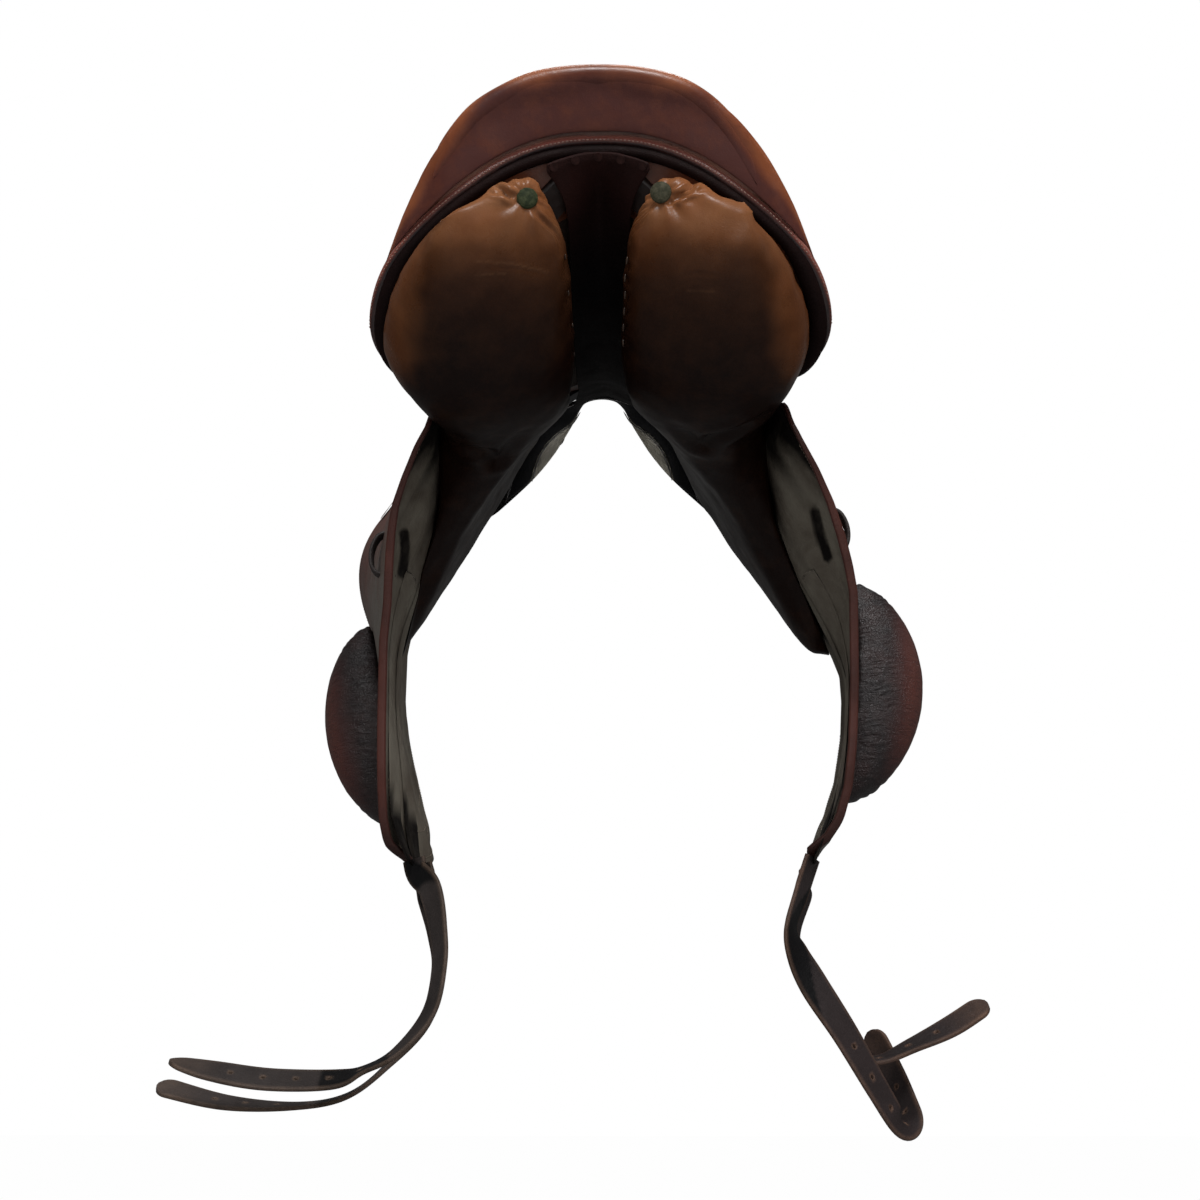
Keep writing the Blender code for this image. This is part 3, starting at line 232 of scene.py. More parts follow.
def makeMesh(name, verts, faces, look, weld=0.00002, angle=50.0):
    mesh = bpy.data.meshes.new(name)
    mesh.from_pydata([tuple(map(float, v)) for v in verts], [], faces)
    work = bmesh.new()
    work.from_mesh(mesh)
    bmesh.ops.remove_doubles(work, verts=work.verts, dist=weld)
    bmesh.ops.recalc_face_normals(work, faces=work.faces)
    for face in work.faces:
        face.smooth = True
    work.to_mesh(mesh)
    work.free()
    mesh.set_sharp_from_angle(angle=math.radians(angle))
    made = bpy.data.objects.new(name, mesh)
    scene.collection.objects.link(made)
    if look is not None:
        mesh.materials.append(look)
    return made


def sweep(name, rows, look, closed=False, angle=50.0):
    across = len(rows[0])
    total = len(rows)
    verts = [p for row in rows for p in row]
    faces = []
    for i in range(total if closed else total - 1):
        n = (i + 1) % total
        for j in range(across):
            k = (j + 1) % across
            faces.append((i * across + j, i * across + k, n * across + k, n * across + j))
    if not closed:
        for i in (0, total - 1):
            verts.append(np.mean(np.array(rows[i]), axis=0))
            faces += [(len(verts) - 1, i * across + j, i * across + (j + 1) % across) for j in range(across)]
    return makeMesh(name, verts, faces, look, 0.00002, angle)


def pill(width, thick, count=4, edge=None, across=0):
    w, h = width / 2.0, thick / 2.0
    r = min(edge or h, h * 0.98, w * 0.98)
    ring = []
    for cx, cy, start in ((w - r, h - r, 0.0), (-w + r, h - r, 90.0), (-w + r, -h + r, 180.0), (w - r, -h + r, 270.0)):
        for q in np.linspace(start, start + 90.0, count):
            ring.append((cx + r * math.cos(math.radians(q)), cy + r * math.sin(math.radians(q))))
    if not across:
        return np.array(ring)
    filled = []
    for k, point in enumerate(ring):
        filled.append(point)
        after = ring[(k + 1) % len(ring)]
        if abs(after[0] - point[0]) > width * 0.5:
            filled += [(point[0] + (after[0] - point[0]) * t, point[1]) for t in np.linspace(0, 1, across + 2)[1:-1]]
    return np.array(filled)


def bandRows(line, widths, shape, scale=None):
    line = np.array(line)
    along = unit(np.gradient(line, axis=0))
    wide = np.array(widths)
    wide = unit(wide - along * np.sum(wide * along, axis=1, keepdims=True))
    face = np.cross(along, wide)
    rows = []
    for k in range(len(line)):
        s = scale[k] if scale is not None else 1.0
        rows.append([line[k] + wide[k] * a * s + face[k] * b for a, b in shape])
    return rows


def coordsOf(piece):
    flat = np.empty(len(piece.data.vertices) * 3)
    piece.data.vertices.foreach_get("co", flat)
    return flat.reshape(-1, 3)


def normalsOf(piece):
    flat = np.empty(len(piece.data.vertices) * 3)
    piece.data.vertices.foreach_get("normal", flat)
    return flat.reshape(-1, 3)


def setCoords(piece, co):
    piece.data.vertices.foreach_set("co", np.ascontiguousarray(co, dtype=float).ravel())
    piece.data.update()


def paint(piece, name, values):
    values = np.clip(np.asarray(values, dtype=float), 0.0, 1.0)
    made = piece.data.attributes.get(name) or piece.data.attributes.new(name, "FLOAT", "POINT")
    made.data.foreach_set("value", np.ascontiguousarray(values, dtype=np.float32))


def bake(piece):
    graph = bpy.context.evaluated_depsgraph_get()
    mesh = bpy.data.meshes.new_from_object(piece.evaluated_get(graph))
    piece.modifiers.clear()
    piece.data = mesh
    return piece


def refine(piece, levels):
    step = piece.modifiers.new("refine", "SUBSURF")
    step.levels = levels
    step.render_levels = levels
    return bake(piece)


def remeshed(piece, size):
    step = piece.modifiers.new("even", "REMESH")
    step.mode = "VOXEL"
    step.voxel_size = size
    step.use_smooth_shade = True
    return bake(piece)


def relaxed(piece, steps, factor=0.5):
    step = piece.modifiers.new("relax", "SMOOTH")
    step.factor = factor
    step.iterations = steps
    return bake(piece)


def copyOfNode(name, node, look):
    mesh = bpy.data.objects[node].data.copy()
    mesh.name = name
    work = bmesh.new()
    work.from_mesh(mesh)
    bmesh.ops.remove_doubles(work, verts=work.verts, dist=0.00005)
    for face in work.faces:
        face.smooth = True
    work.to_mesh(mesh)
    work.free()
    made = bpy.data.objects.new(name, mesh)
    scene.collection.objects.link(made)
    mesh.materials.clear()
    mesh.materials.append(look)
    return made


def plump(piece, v):
    # a short cloth simulation under inner pressure, each point's travel capped
    start = coordsOf(piece)
    cloth = piece.modifiers.new("cloth", "CLOTH")
    cloth.settings.quality = 4
    cloth.settings.mass = 0.3
    cloth.settings.tension_stiffness = v["stiffness"]
    cloth.settings.compression_stiffness = v["stiffness"]
    cloth.settings.bending_stiffness = 0.6
    cloth.settings.use_pressure = True
    cloth.settings.uniform_pressure_force = v["pressure"]
    cloth.settings.effector_weights.gravity = 0.0
    cloth.collision_settings.use_collision = False
    cloth.collision_settings.use_self_collision = False
    cloth.point_cache.frame_start = 1
    cloth.point_cache.frame_end = 20
    for number in range(1, 21):
        scene.frame_set(number)
    graph = bpy.context.evaluated_depsgraph_get()
    mesh = bpy.data.meshes.new_from_object(piece.evaluated_get(graph))
    flat = np.empty(len(mesh.vertices) * 3)
    mesh.vertices.foreach_get("co", flat)
    piece.modifiers.clear()
    scene.frame_set(1)
    move = flat.reshape(-1, 3) - start
    length = np.linalg.norm(move, axis=1, keepdims=True)
    move = move * np.minimum(1.0, v["cap"] / np.maximum(length, 1e-9))
    setCoords(piece, start + move)
    return relaxed(piece, 2)


def noiseAt(co, size, seed=0.0):
    shift = Vector((seed, seed * 1.7, seed * 0.3))
    return np.array([noise.noise(Vector(p) / size + shift) for p in co])


def bump(piece, amount):
    setCoords(piece, coordsOf(piece) + normalsOf(piece) * np.asarray(amount)[:, None])


def distanceTo(co, path):
    path = np.array(path, dtype=float)
    best = np.full(len(co), 1e9)
    share = np.zeros(len(co))
    for k in range(len(path) - 1):
        a, b = path[k], path[k + 1]
        run = b - a
        t = np.clip(((co - a) @ run) / max(run @ run, 1e-12), 0.0, 1.0)
        far = np.linalg.norm(co - (a + t[:, None] * run), axis=1)
        near = far < best
        best[near] = far[near]
        share[near] = (k + t[near]) / (len(path) - 1)
    return best, share


def crease(piece, path, width, depth, lip=0.35):
    # a fold: a valley along the path with a low lip on both sides, fading at its ends
    co = coordsOf(piece)
    far, share = distanceTo(co, path)
    fade = np.sin(np.pi * np.clip(share, 0.02, 0.98)) ** 0.6
    valley = np.exp(-(far / width) ** 2)
    edge = np.exp(-((far - width * 1.9) / (width * 0.8)) ** 2)
    bump(piece, fade * (-depth * valley + depth * lip * edge))


# the eye the photo was taken from; lines seen from it are kept as upward and outward slopes
eye = np.array((0.0169, -1.1103, -0.5963))


def slopes(co, side):
    d = co - eye
    return d[:, 2] / d[:, 1], sides[side] * d[:, 0] / d[:, 1]


def onLine(up, table):
    rows = np.array(sorted(table))
    return np.interp(up, rows[:, 0], rows[:, 1])


def fromEye(tree, side, pairs, count=40):
    found = []
    for up, out, none in smoothLine([(a, b, 0.0) for a, b in pairs], count):
        hit = tree.ray_cast(Vector(eye), Vector((out * sides[side], 1.0, up)).normalized())
        if hit[0] is not None:
            found.append(hit[0][:])
    return np.array(found)


def refineNear(piece, places, reach):
    # one more level of faces round the places where fine folds go
    work = bmesh.new()
    work.from_mesh(piece.data)
    near = []
    for edge in work.edges:
        middle = (edge.verts[0].co + edge.verts[1].co) / 2
        if any((middle - Vector(p)).length < reach for p in places):
            near.append(edge)
    bmesh.ops.subdivide_edges(work, edges=near, cuts=1, use_grid_fill=True, smooth=0.6)
    for face in work.faces:
        face.smooth = True
    work.to_mesh(piece.data)
    work.free()
    piece.data.update()


def treeOf(piece):
    mesh = piece.data
    return BVHTree.FromPolygons([v.co for v in mesh.vertices], [tuple(f.vertices) for f in mesh.polygons])


def castAlong(tree, starts, way):
    found = []
    for start in starts:
        place = tree.ray_cast(Vector(start), Vector(way))[0]
        if place is not None:
            found.append(np.array(place))
    return np.array(found)


def fromBehind(tree, pairs, count=24):
    # places on a surface, drawn as x and z in the view from behind
    line = smoothLine([(x, 0.0, z) for x, z in pairs], count)
    return castAlong(tree, [(p[0], -0.6, p[2]) for p in line], (0.0, 1.0, 0.0))


def fromGullet(tree, side, pairs, count=24):
    # places on the wall beside the gullet, drawn as y and z
    line = smoothLine([(0.0, y, z) for y, z in pairs], count)
    return castAlong(tree, [(0.0, p[1], p[2]) for p in line], (sides[side], 0.0, 0.0))


def cordAlong(name, line, radius, look, around=8):
    line = np.array(line)
    along = unit(np.gradient(line, axis=0))
    start = np.cross(along, (0.0, 0.0, 1.0))
    weak = np.linalg.norm(start, axis=1) < 0.05
    start[weak] = np.cross(along[weak], (0.0, 1.0, 0.0))
    first = unit(start)
    second = np.cross(along, first)
    turns = np.linspace(0.0, 2 * math.pi, around + 1)[:-1]
    ends = np.sin(np.linspace(0.0, math.pi, len(line)))
    size = radius * np.minimum(1.0, 0.25 + ends * 6.0)
    rows = [[line[k] + (first[k] * math.cos(q) + second[k] * math.sin(q)) * size[k] for q in turns]
            for k in range(len(line))]
    return sweep(name, rows, looks[look])


def tubeMiddle(piece, guide, reach, passes=3):
    # the middle line of a round piece, found from its own points near a rough line
    co = coordsOf(piece)
    line = np.array(guide, dtype=float)
    for _ in range(passes):
        line = np.array([np.average(co, axis=0, weights=np.exp(-np.sum((co - p) ** 2, axis=1) / reach ** 2))
                         for p in line])
    return evenLine(line, len(line))


print("stage: tools ready")

# Finishes


def leatherLook(name, v):
    made = bpy.data.materials.new(name)
    made.use_nodes = True
    nodes, links = made.node_tree.nodes, made.node_tree.links
    shader = nodes["Principled BSDF"]
    place = nodes.new("ShaderNodeTexCoord")

    def cloud(scale, detail=4.0, rough=0.6, twist=0.0):
        n = nodes.new("ShaderNodeTexNoise")
        n.inputs["Scale"].default_value = scale
        n.inputs["Detail"].default_value = detail
        n.inputs["Roughness"].default_value = rough
        n.inputs["Distortion"].default_value = twist
        links.new(place.outputs["Object"], n.inputs["Vector"])
        return n.outputs["Fac"]

    def span(value, low, high, outLow, outHigh):
        n = nodes.new("ShaderNodeMapRange")
        for key, number in (("From Min", low), ("From Max", high), ("To Min", outLow), ("To Max", outHigh)):
            n.inputs[key].default_value = number
        links.new(value, n.inputs["Value"])
        return n.outputs["Result"]

    def sum2(a, b, kind="ADD"):
        n = nodes.new("ShaderNodeMath")
        n.operation = kind
        for slot, value in ((0, a), (1, b)):
            if isinstance(value, float):
                n.inputs[slot].default_value = value
            else:
                links.new(value, n.inputs[slot])
        return n.outputs[0]

    def blend(share, a, b):
        n = nodes.new("ShaderNodeMix")
        n.data_type = "RGBA"
        links.new(share, n.inputs["Factor"])
        for slot, value in ((6, a), (7, b)):
            if isinstance(value, tuple):
                n.inputs[slot].default_value = (*value, 1.0)
            else:
                links.new(value, n.inputs[slot])
        return n.outputs[2]

    def painted(which):
        n = nodes.new("ShaderNodeAttribute")
        n.attribute_name = which
        return n.outputs["Fac"]

    colour = blend(span(cloud(v.get("patch", 14.0), 5.0, 0.62, 0.4), 0.36, 0.66, 0.0, 1.0), v["main"], v["second"])
    amount = v.get("uneven", 0.20)
    uneven = span(cloud(v.get("patch", 14.0) * 2.2, 6.0, 0.7), 0.25, 0.75, -amount, amount)
    # painted shade: the shade attribute, roughened by noise, mixes the colour toward the look's dark colour
    dark = sum2(painted("shade"), sum2(uneven, painted("shade"), "MULTIPLY"))
    colour = blend(span(dark, 0.0, 1.0, 0.0, 1.0), colour, v.get("dark", v["second"]))
    # real wear and painted highlights share one painted attribute and mix toward a lighter colour
    rubAndHighlight = sum2(painted("wearAndHighlight"), span(cloud(70.0, 6.0, 0.75), 0.3, 0.7, 0.35, 1.15), "MULTIPLY")
    colour = blend(span(rubAndHighlight, 0.0, 1.0, 0.0, 1.0), colour, v.get("wornAndHighlight", v["main"]))
    scuff = span(cloud(220.0, 3.0, 0.8, 1.2), 0.66, 0.80, 0.0, v.get("scuff", 0.10))
    colour = blend(scuff, colour, v.get("wornAndHighlight", v["main"]))
    links.new(colour, shader.inputs["Base Color"])

    low, high = v.get("rough", (0.34, 0.52))
    gloss = span(cloud(38.0, 5.0, 0.65), 0.3, 0.7, low, high)
    gloss = sum2(gloss, span(dark, 0.80, 1.0, 0.0, v.get("matte", 0.0)))
    links.new(gloss, shader.inputs["Roughness"])
    shader.inputs["Specular IOR Level"].default_value = v.get("specular", 0.5)
    shader.inputs["Coat Weight"].default_value = v.get("coat", 0.0)
    shader.inputs["Coat Roughness"].default_value = 0.28
    shader.inputs["Sheen Weight"].default_value = v.get("sheen", 0.0)

    cells = nodes.new("ShaderNodeTexVoronoi")
    cells.feature = "DISTANCE_TO_EDGE"
    cells.inputs["Scale"].default_value = v.get("grainScale", 520.0)
    links.new(place.outputs["Object"], cells.inputs["Vector"])
    grain = nodes.new("ShaderNodeBump")
    grain.inputs["Strength"].default_value = v.get("grain", 0.25)
    grain.inputs["Distance"].default_value = 0.0006
    links.new(span(cells.outputs["Distance"], 0.0, 0.25, 0.0, 1.0), grain.inputs["Height"])
    fold = nodes.new("ShaderNodeBump")
    fold.inputs["Strength"].default_value = v.get("fold", 0.2)
    fold.inputs["Distance"].default_value = 0.003
    folds = cloud(v.get("foldScale", 60.0), 5.0, 0.6, 0.9)
    if "stretch" in v:
        drawn = nodes.new("ShaderNodeMapping")
        drawn.inputs["Scale"].default_value = v["stretch"]
        links.new(place.outputs["Object"], drawn.inputs["Vector"])
        links.new(drawn.outputs["Vector"], folds.node.inputs["Vector"])
    links.new(folds, fold.inputs["Height"])
    links.new(grain.outputs["Normal"], fold.inputs["Normal"])
    links.new(fold.outputs["Normal"], shader.inputs["Normal"])
    return made


def plainLook(name, colour, rough, metallic=0.0, second=None, scale=60.0, bumpDepth=0.1, bumpScale=400.0,
              specular=0.5):
    made = bpy.data.materials.new(name)
    made.use_nodes = True
    nodes, links = made.node_tree.nodes, made.node_tree.links
    shader = nodes["Principled BSDF"]
    place = nodes.new("ShaderNodeTexCoord")
    cloud = nodes.new("ShaderNodeTexNoise")
    cloud.inputs["Scale"].default_value = scale
    cloud.inputs["Detail"].default_value = 6.0
    links.new(place.outputs["Object"], cloud.inputs["Vector"])
    ramp = nodes.new("ShaderNodeValToRGB")
    ramp.color_ramp.elements[0].position = 0.38
    ramp.color_ramp.elements[1].position = 0.62
    ramp.color_ramp.elements[0].color = (*colour, 1.0)
    ramp.color_ramp.elements[1].color = (*(second or [c * 0.7 for c in colour]), 1.0)
    links.new(cloud.outputs["Fac"], ramp.inputs["Fac"])
    links.new(ramp.outputs["Color"], shader.inputs["Base Color"])
    shader.inputs["Metallic"].default_value = metallic
    shader.inputs["Specular IOR Level"].default_value = specular
    span = nodes.new("ShaderNodeMapRange")
    span.inputs["To Min"].default_value = rough * 0.8
    span.inputs["To Max"].default_value = min(1.0, rough * 1.25)
    links.new(cloud.outputs["Fac"], span.inputs["Value"])
    links.new(span.outputs["Result"], shader.inputs["Roughness"])
    fine = nodes.new("ShaderNodeTexNoise")
    fine.inputs["Scale"].default_value = bumpScale
    links.new(place.outputs["Object"], fine.inputs["Vector"])
    relief = nodes.new("ShaderNodeBump")
    relief.inputs["Strength"].default_value = bumpDepth
    relief.inputs["Distance"].default_value = 0.0006
    links.new(fine.outputs["Fac"], relief.inputs["Height"])
    links.new(relief.outputs["Normal"], shader.inputs["Normal"])
    return made


looks = {
    "seat": leatherLook("seatLeather", {"main": (0.165, 0.050, 0.020), "second": (0.110, 0.034, 0.016),
                                        "dark": (0.040, 0.014, 0.012), "wornAndHighlight": (0.30, 0.130, 0.070),
                                        "rough": (0.28, 0.42), "grain": 0.16, "fold": 0.10, "coat": 0.15}),
    "facing": leatherLook("cantleLeather", {"main": (0.235, 0.072, 0.028), "second": (0.150, 0.043, 0.020),
                                            "dark": (0.060, 0.0180, 0.0145), "wornAndHighlight": (0.30, 0.125, 0.070),
                                            "rough": (0.26, 0.38), "grain": 0.05, "fold": 0.10,
                                            "specular": 0.18, "matte": 0.10, "patch": 22.0}),
    "welt": leatherLook("weltLeather", {"main": (0.215, 0.060, 0.042), "second": (0.140, 0.038, 0.028),
                                        "dark": (0.012, 0.006, 0.006), "wornAndHighlight": (0.36, 0.180, 0.140),
                                        "rough": (0.34, 0.50), "grain": 0.2, "coat": 0.1}),
    "panel": leatherLook("panelLeather", {"main": (0.225, 0.086, 0.034), "second": (0.155, 0.052, 0.018),
                                          "dark": (0.0065, 0.0022, 0.0013), "wornAndHighlight": (0.24, 0.120, 0.060),
                                          "rough": (0.24, 0.36), "grain": 0.05, "fold": 0.10, "specular": 0.12,
                                          "matte": 0.12, "uneven": 0.05, "scuff": 0.03}),
    "lining": leatherLook("gulletLeather", {"main": (0.020, 0.0075, 0.0065), "second": (0.012, 0.005, 0.0045),
                                            "dark": (0.003, 0.002, 0.002), "wornAndHighlight": (0.05, 0.03, 0.02),
                                            "rough": (0.55, 0.75), "grain": 0.3, "specular": 0.06}),
    "band": leatherLook("archLeather", {"main": (0.008, 0.008, 0.010), "second": (0.005, 0.005, 0.006),
                                        "dark": (0.002, 0.002, 0.003), "wornAndHighlight": (0.04, 0.035, 0.03),
                                        "rough": (0.45, 0.62), "grain": 0.3, "specular": 0.25}),
    "beige": leatherLook("pommelLeather", {"main": (0.700, 0.660, 0.560), "second": (0.500, 0.465, 0.385),
                                           "dark": (0.010, 0.009, 0.009), "rough": (0.60, 0.80), "grain": 0.3,
                                           "fold": 0.45, "foldScale": 28.0, "stretch": (1.0, 1.0, 0.35),
                                           "specular": 0.1}),
    "flap": leatherLook("flapLeather", {"main": (0.150, 0.134, 0.108), "second": (0.072, 0.058, 0.045),
                                        "dark": (0.0040, 0.0028, 0.0024), "wornAndHighlight": (0.20, 0.18, 0.15),
                                        "rough": (0.60, 0.80), "grain": 0.12, "fold": 0.70, "foldScale": 34.0,
                                        "stretch": (1.0, 1.0, 0.10), "specular": 0.10}),
    # the outer face's dark colour is a pale grey: a painted sheen toward the flap's bottom
    "flapFace": leatherLook("flapFaceLeather", {"main": (0.105, 0.042, 0.032), "second": (0.062, 0.028, 0.022),
                                                "dark": (0.105, 0.092, 0.078), "wornAndHighlight": (0.15, 0.100, 0.080),
                                                "rough": (0.42, 0.60), "grain": 0.35, "grainScale": 420.0,
                                                "fold": 0.2, "specular": 0.25}),
    "edge": leatherLook("edgeLeather", {"main": (0.062, 0.019, 0.014), "second": (0.036, 0.012, 0.009),
                                        "dark": (0.012, 0.006, 0.005), "wornAndHighlight": (0.17, 0.08, 0.06),
                                        "rough": (0.42, 0.58), "grain": 0.15, "specular": 0.25}),
    "block": leatherLook("blockLeather", {"main": (0.082, 0.024, 0.019), "second": (0.050, 0.018, 0.016),
                                          "dark": (0.0125, 0.0092, 0.0095), "wornAndHighlight": (0.085, 0.032, 0.023),
                                          "rough": (0.36, 0.52), "grain": 0.60, "grainScale": 380.0,
                                          "fold": 0.70, "foldScale": 90.0, "stretch": (0.6, 0.6, 2.6),
                                          "specular": 0.32}),
    "strap": leatherLook("strapLeather", {"main": (0.042, 0.034, 0.032), "second": (0.023, 0.0185, 0.0175),
                                          "dark": (0.0022, 0.0020, 0.0024), "wornAndHighlight": (0.150, 0.100, 0.070),
                                          "rough": (0.50, 0.70), "grain": 0.2, "fold": 0.30, "foldScale": 70.0,
                                          "specular": 0.2}),
    "brownStrap": leatherLook("brownStrapLeather", {"main": (0.030, 0.0215, 0.0215), "second": (0.016, 0.0120, 0.0120),
                                                    "dark": (0.0022, 0.0020, 0.0024), "wornAndHighlight": (0.170, 0.095, 0.062),
                                                    "rough": (0.50, 0.70), "grain": 0.2, "fold": 0.30,
                                                    "foldScale": 70.0, "specular": 0.2}),
    "paleEdge": plainLook("paleEdge", (0.30, 0.29, 0.29), 0.5, 0.0, (0.10, 0.095, 0.095), 90.0),
    "thread": plainLook("waxedThread", (0.25, 0.20, 0.15), 0.7, 0.0, (0.13, 0.10, 0.075), 300.0),
    "paleThread": plainLook("paleThread", (0.30, 0.18, 0.14), 0.6, 0.0, (0.16, 0.08, 0.06), 300.0),
    "lacing": plainLook("panelLacing", (0.045, 0.024, 0.013), 0.50, 0.0, (0.024, 0.011, 0.006), 200.0),
    "darkThread": plainLook("darkThread", (0.05, 0.030, 0.022), 0.6, 0.0, (0.03, 0.02, 0.015), 300.0),
    "steel": plainLook("barSteel", (0.50, 0.50, 0.51), 0.32, 1.0, (0.36, 0.36, 0.37), 40.0, 0.15, 900.0),
    "greenBrass": plainLook("greenBrass", (0.038, 0.045, 0.021), 0.62, 0.0, (0.017, 0.023, 0.011), 260.0, 0.7, 600.0,
                            0.08),
    "greyBrass": plainLook("greyBrass", (0.058, 0.054, 0.034), 0.62, 0.0, (0.030, 0.030, 0.018), 260.0, 0.7, 600.0,
                           0.08),
    "nail": plainLook("coveredNail", (0.026, 0.0105, 0.0090), 0.70, 0.0, (0.014, 0.0055, 0.0048), 200.0,
                      specular=0.08),
    "blackPaint": plainLook("blackPaint", (0.008, 0.008, 0.009), 0.45, 0.0, (0.006, 0.006, 0.007), 60.0),
    # near-black: painted shade on the frame and the webbing, seen only through the gullet
    "wood": plainLook("treeLaminate", (0.016, 0.0070, 0.0050), 0.6, 0.0, (0.010, 0.0045, 0.0035), 30.0),
    "linen": plainLook("webbingJute", (0.030, 0.018, 0.012), 0.9, 0.0, (0.020, 0.012, 0.008), 200.0, 0.6, 900.0),
}
print("stage: finishes")

# Stitches: capsules along a line, as Geometry Nodes


def stitchTree():
    tree = bpy.data.node_groups.new("stitches", "GeometryNodeTree")
    face = tree.interface
    face.new_socket("Geometry", in_out="INPUT", socket_type="NodeSocketGeometry")
    for name, value in (("Spacing", 0.0036), ("Length", 0.0026), ("Radius", 0.0004)):
        socket = face.new_socket(name, in_out="INPUT", socket_type="NodeSocketFloat")
        socket.default_value = value
    face.new_socket("Material", in_out="INPUT", socket_type="NodeSocketMaterial")
    face.new_socket("Geometry", in_out="OUTPUT", socket_type="NodeSocketGeometry")
    nodes, links = tree.nodes, tree.links
    inlet = nodes.new("NodeGroupInput")
    outlet = nodes.new("NodeGroupOutput")
    toCurve = nodes.new("GeometryNodeMeshToCurve")
    even = nodes.new("GeometryNodeResampleCurve")
    even.mode = "LENGTH"
    tangent = nodes.new("GeometryNodeInputTangent")
    turn = nodes.new("FunctionNodeAlignRotationToVector")
    turn.axis = "Z"
    thread = nodes.new("GeometryNodeMeshUVSphere")
    thread.inputs["Segments"].default_value = 6
    thread.inputs["Rings"].default_value = 4
    thread.inputs["Radius"].default_value = 1.0
    half = nodes.new("ShaderNodeMath")
    half.operation = "MULTIPLY"
    half.inputs[1].default_value = 0.5
    size = nodes.new("ShaderNodeCombineXYZ")
    copies = nodes.new("GeometryNodeInstanceOnPoints")
    solid = nodes.new("GeometryNodeRealizeInstances")
    finish = nodes.new("GeometryNodeSetMaterial")
    smooth = nodes.new("GeometryNodeSetShadeSmooth")
    links.new(inlet.outputs["Geometry"], toCurve.inputs["Mesh"])
    links.new(toCurve.outputs["Curve"], even.inputs["Curve"])
    links.new(inlet.outputs["Spacing"], even.inputs["Length"])
    links.new(even.outputs["Curve"], copies.inputs["Points"])
    links.new(tangent.outputs["Tangent"], turn.inputs["Vector"])
    links.new(turn.outputs["Rotation"], copies.inputs["Rotation"])
    links.new(thread.outputs["Mesh"], copies.inputs["Instance"])
    links.new(inlet.outputs["Length"], half.inputs[0])
    links.new(inlet.outputs["Radius"], size.inputs["X"])
    links.new(inlet.outputs["Radius"], size.inputs["Y"])
    links.new(half.outputs[0], size.inputs["Z"])
    links.new(size.outputs["Vector"], copies.inputs["Scale"])
    links.new(copies.outputs["Instances"], solid.inputs["Geometry"])
    links.new(solid.outputs["Geometry"], smooth.inputs["Geometry"])
    links.new(smooth.outputs["Geometry"], finish.inputs["Geometry"])
    links.new(inlet.outputs["Material"], finish.inputs["Material"])
    links.new(finish.outputs["Geometry"], outlet.inputs["Geometry"])
    return tree


stitches = stitchTree()


def sewnRows(name, rows, body, v, look="thread", slot="welt"):
    verts, edges = [], []
    for row in rows:
        first = len(verts)
        verts += [tuple(map(float, p)) for p in row]
        edges += [(first + k, first + k + 1) for k in range(len(row) - 1)]
    mesh = bpy.data.meshes.new(name)
    mesh.from_pydata(verts, edges, [])
    made = bpy.data.objects.new(name, mesh)
    scene.collection.objects.link(made)
    step = made.modifiers.new("stitches", "NODES")
    step.node_group = stitches
    for item in stitches.interface.items_tree:
        if item.item_type == "SOCKET" and item.in_out == "INPUT" and item.name in v:
            step[item.identifier] = v[item.name]
        if item.item_type == "SOCKET" and item.in_out == "INPUT" and item.name == "Material":
            step[item.identifier] = looks[look]
    bake(made)
    finished(made, body, slot)
    return made


def finished(piece, body, slot, *nodes):
    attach(piece, body)
    if nodes:
        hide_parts(*nodes)


def giveLook(piece, look):
    piece.data.materials.clear()
    piece.data.materials.append(looks[look])


def smoothNode(name, node, look, levels=2):
    # a node's own shape with its flat facets rounded off
    made = copyOfNode(name, node, looks[look])
    work = bmesh.new()
    work.from_mesh(made.data)
    bmesh.ops.join_triangles(work, faces=work.faces, angle_face_threshold=0.9, angle_shape_threshold=1.4)
    work.to_mesh(made.data)
    work.free()
    return refine(made, levels)


# Seat: crowned cushion, its rim and a soft roll along its lower edge

seatForm = {
    "voxel": 0.0048,
    "shrink": 0.0012,
    "pressure": 4.0,
    "stiffness": 12.0,
    "cap": 0.0050,
    "skirtRoll": 0.0072,
    "skirtLine": [(0.172, -0.172, 0.0500), (0.184, -0.138, 0.0235), (0.173, -0.090, 0.0145), (0.145, -0.040, 0.0410),
                  (0.124, 0.025, 0.0650), (0.109, 0.095, 0.0870), (0.090, 0.160, 0.1140), (0.062, 0.203, 0.1470)],
}


def makeSeat(v):
    seat = copyOfNode("seatSkin", "seat_cushion", looks["seat"])
    remeshed(seat, v["voxel"])
    relaxed(seat, 3)
    setCoords(seat, coordsOf(seat) - normalsOf(seat) * v["shrink"])
    plump(seat, v)
    refine(seat, 1)
    co = coordsOf(seat)
    back = soften(-0.17, -0.25, co[:, 1])
    # darker in the rear middle; lighter along the rim, partly real rubbing and partly a painted highlight where the rim
    # catches the light
    paint(seat, "shade", 0.55 * back * np.exp(-(co[:, 0] / 0.085) ** 2) + 0.15)
    height = soften(0.11, 0.175, co[:, 2]) * soften(-0.20, -0.25, co[:, 1])
    paint(seat, "wearAndHighlight", 0.45 * height + 0.10 * soften(0.10, 0.16, np.abs(co[:, 0])))
    finished(seat, "saddle", "seat", "seat_cushion")
    # a soft roll closes the seat's lower edge on the welt
    for side in sides:
        roll = cordAlong("seatRoll_" + side, placed(smoothLine(v["skirtLine"], 90), side), v["skirtRoll"], "seat", 16)
        paint(roll, "shade", np.full(len(roll.data.vertices), 0.3))
        finished(roll, "saddle", "seat")
    return seat


seatSkin = makeSeat(seatForm)
print("stage: seat")

# Cantle: facing, the seam under the rim and the corded welt

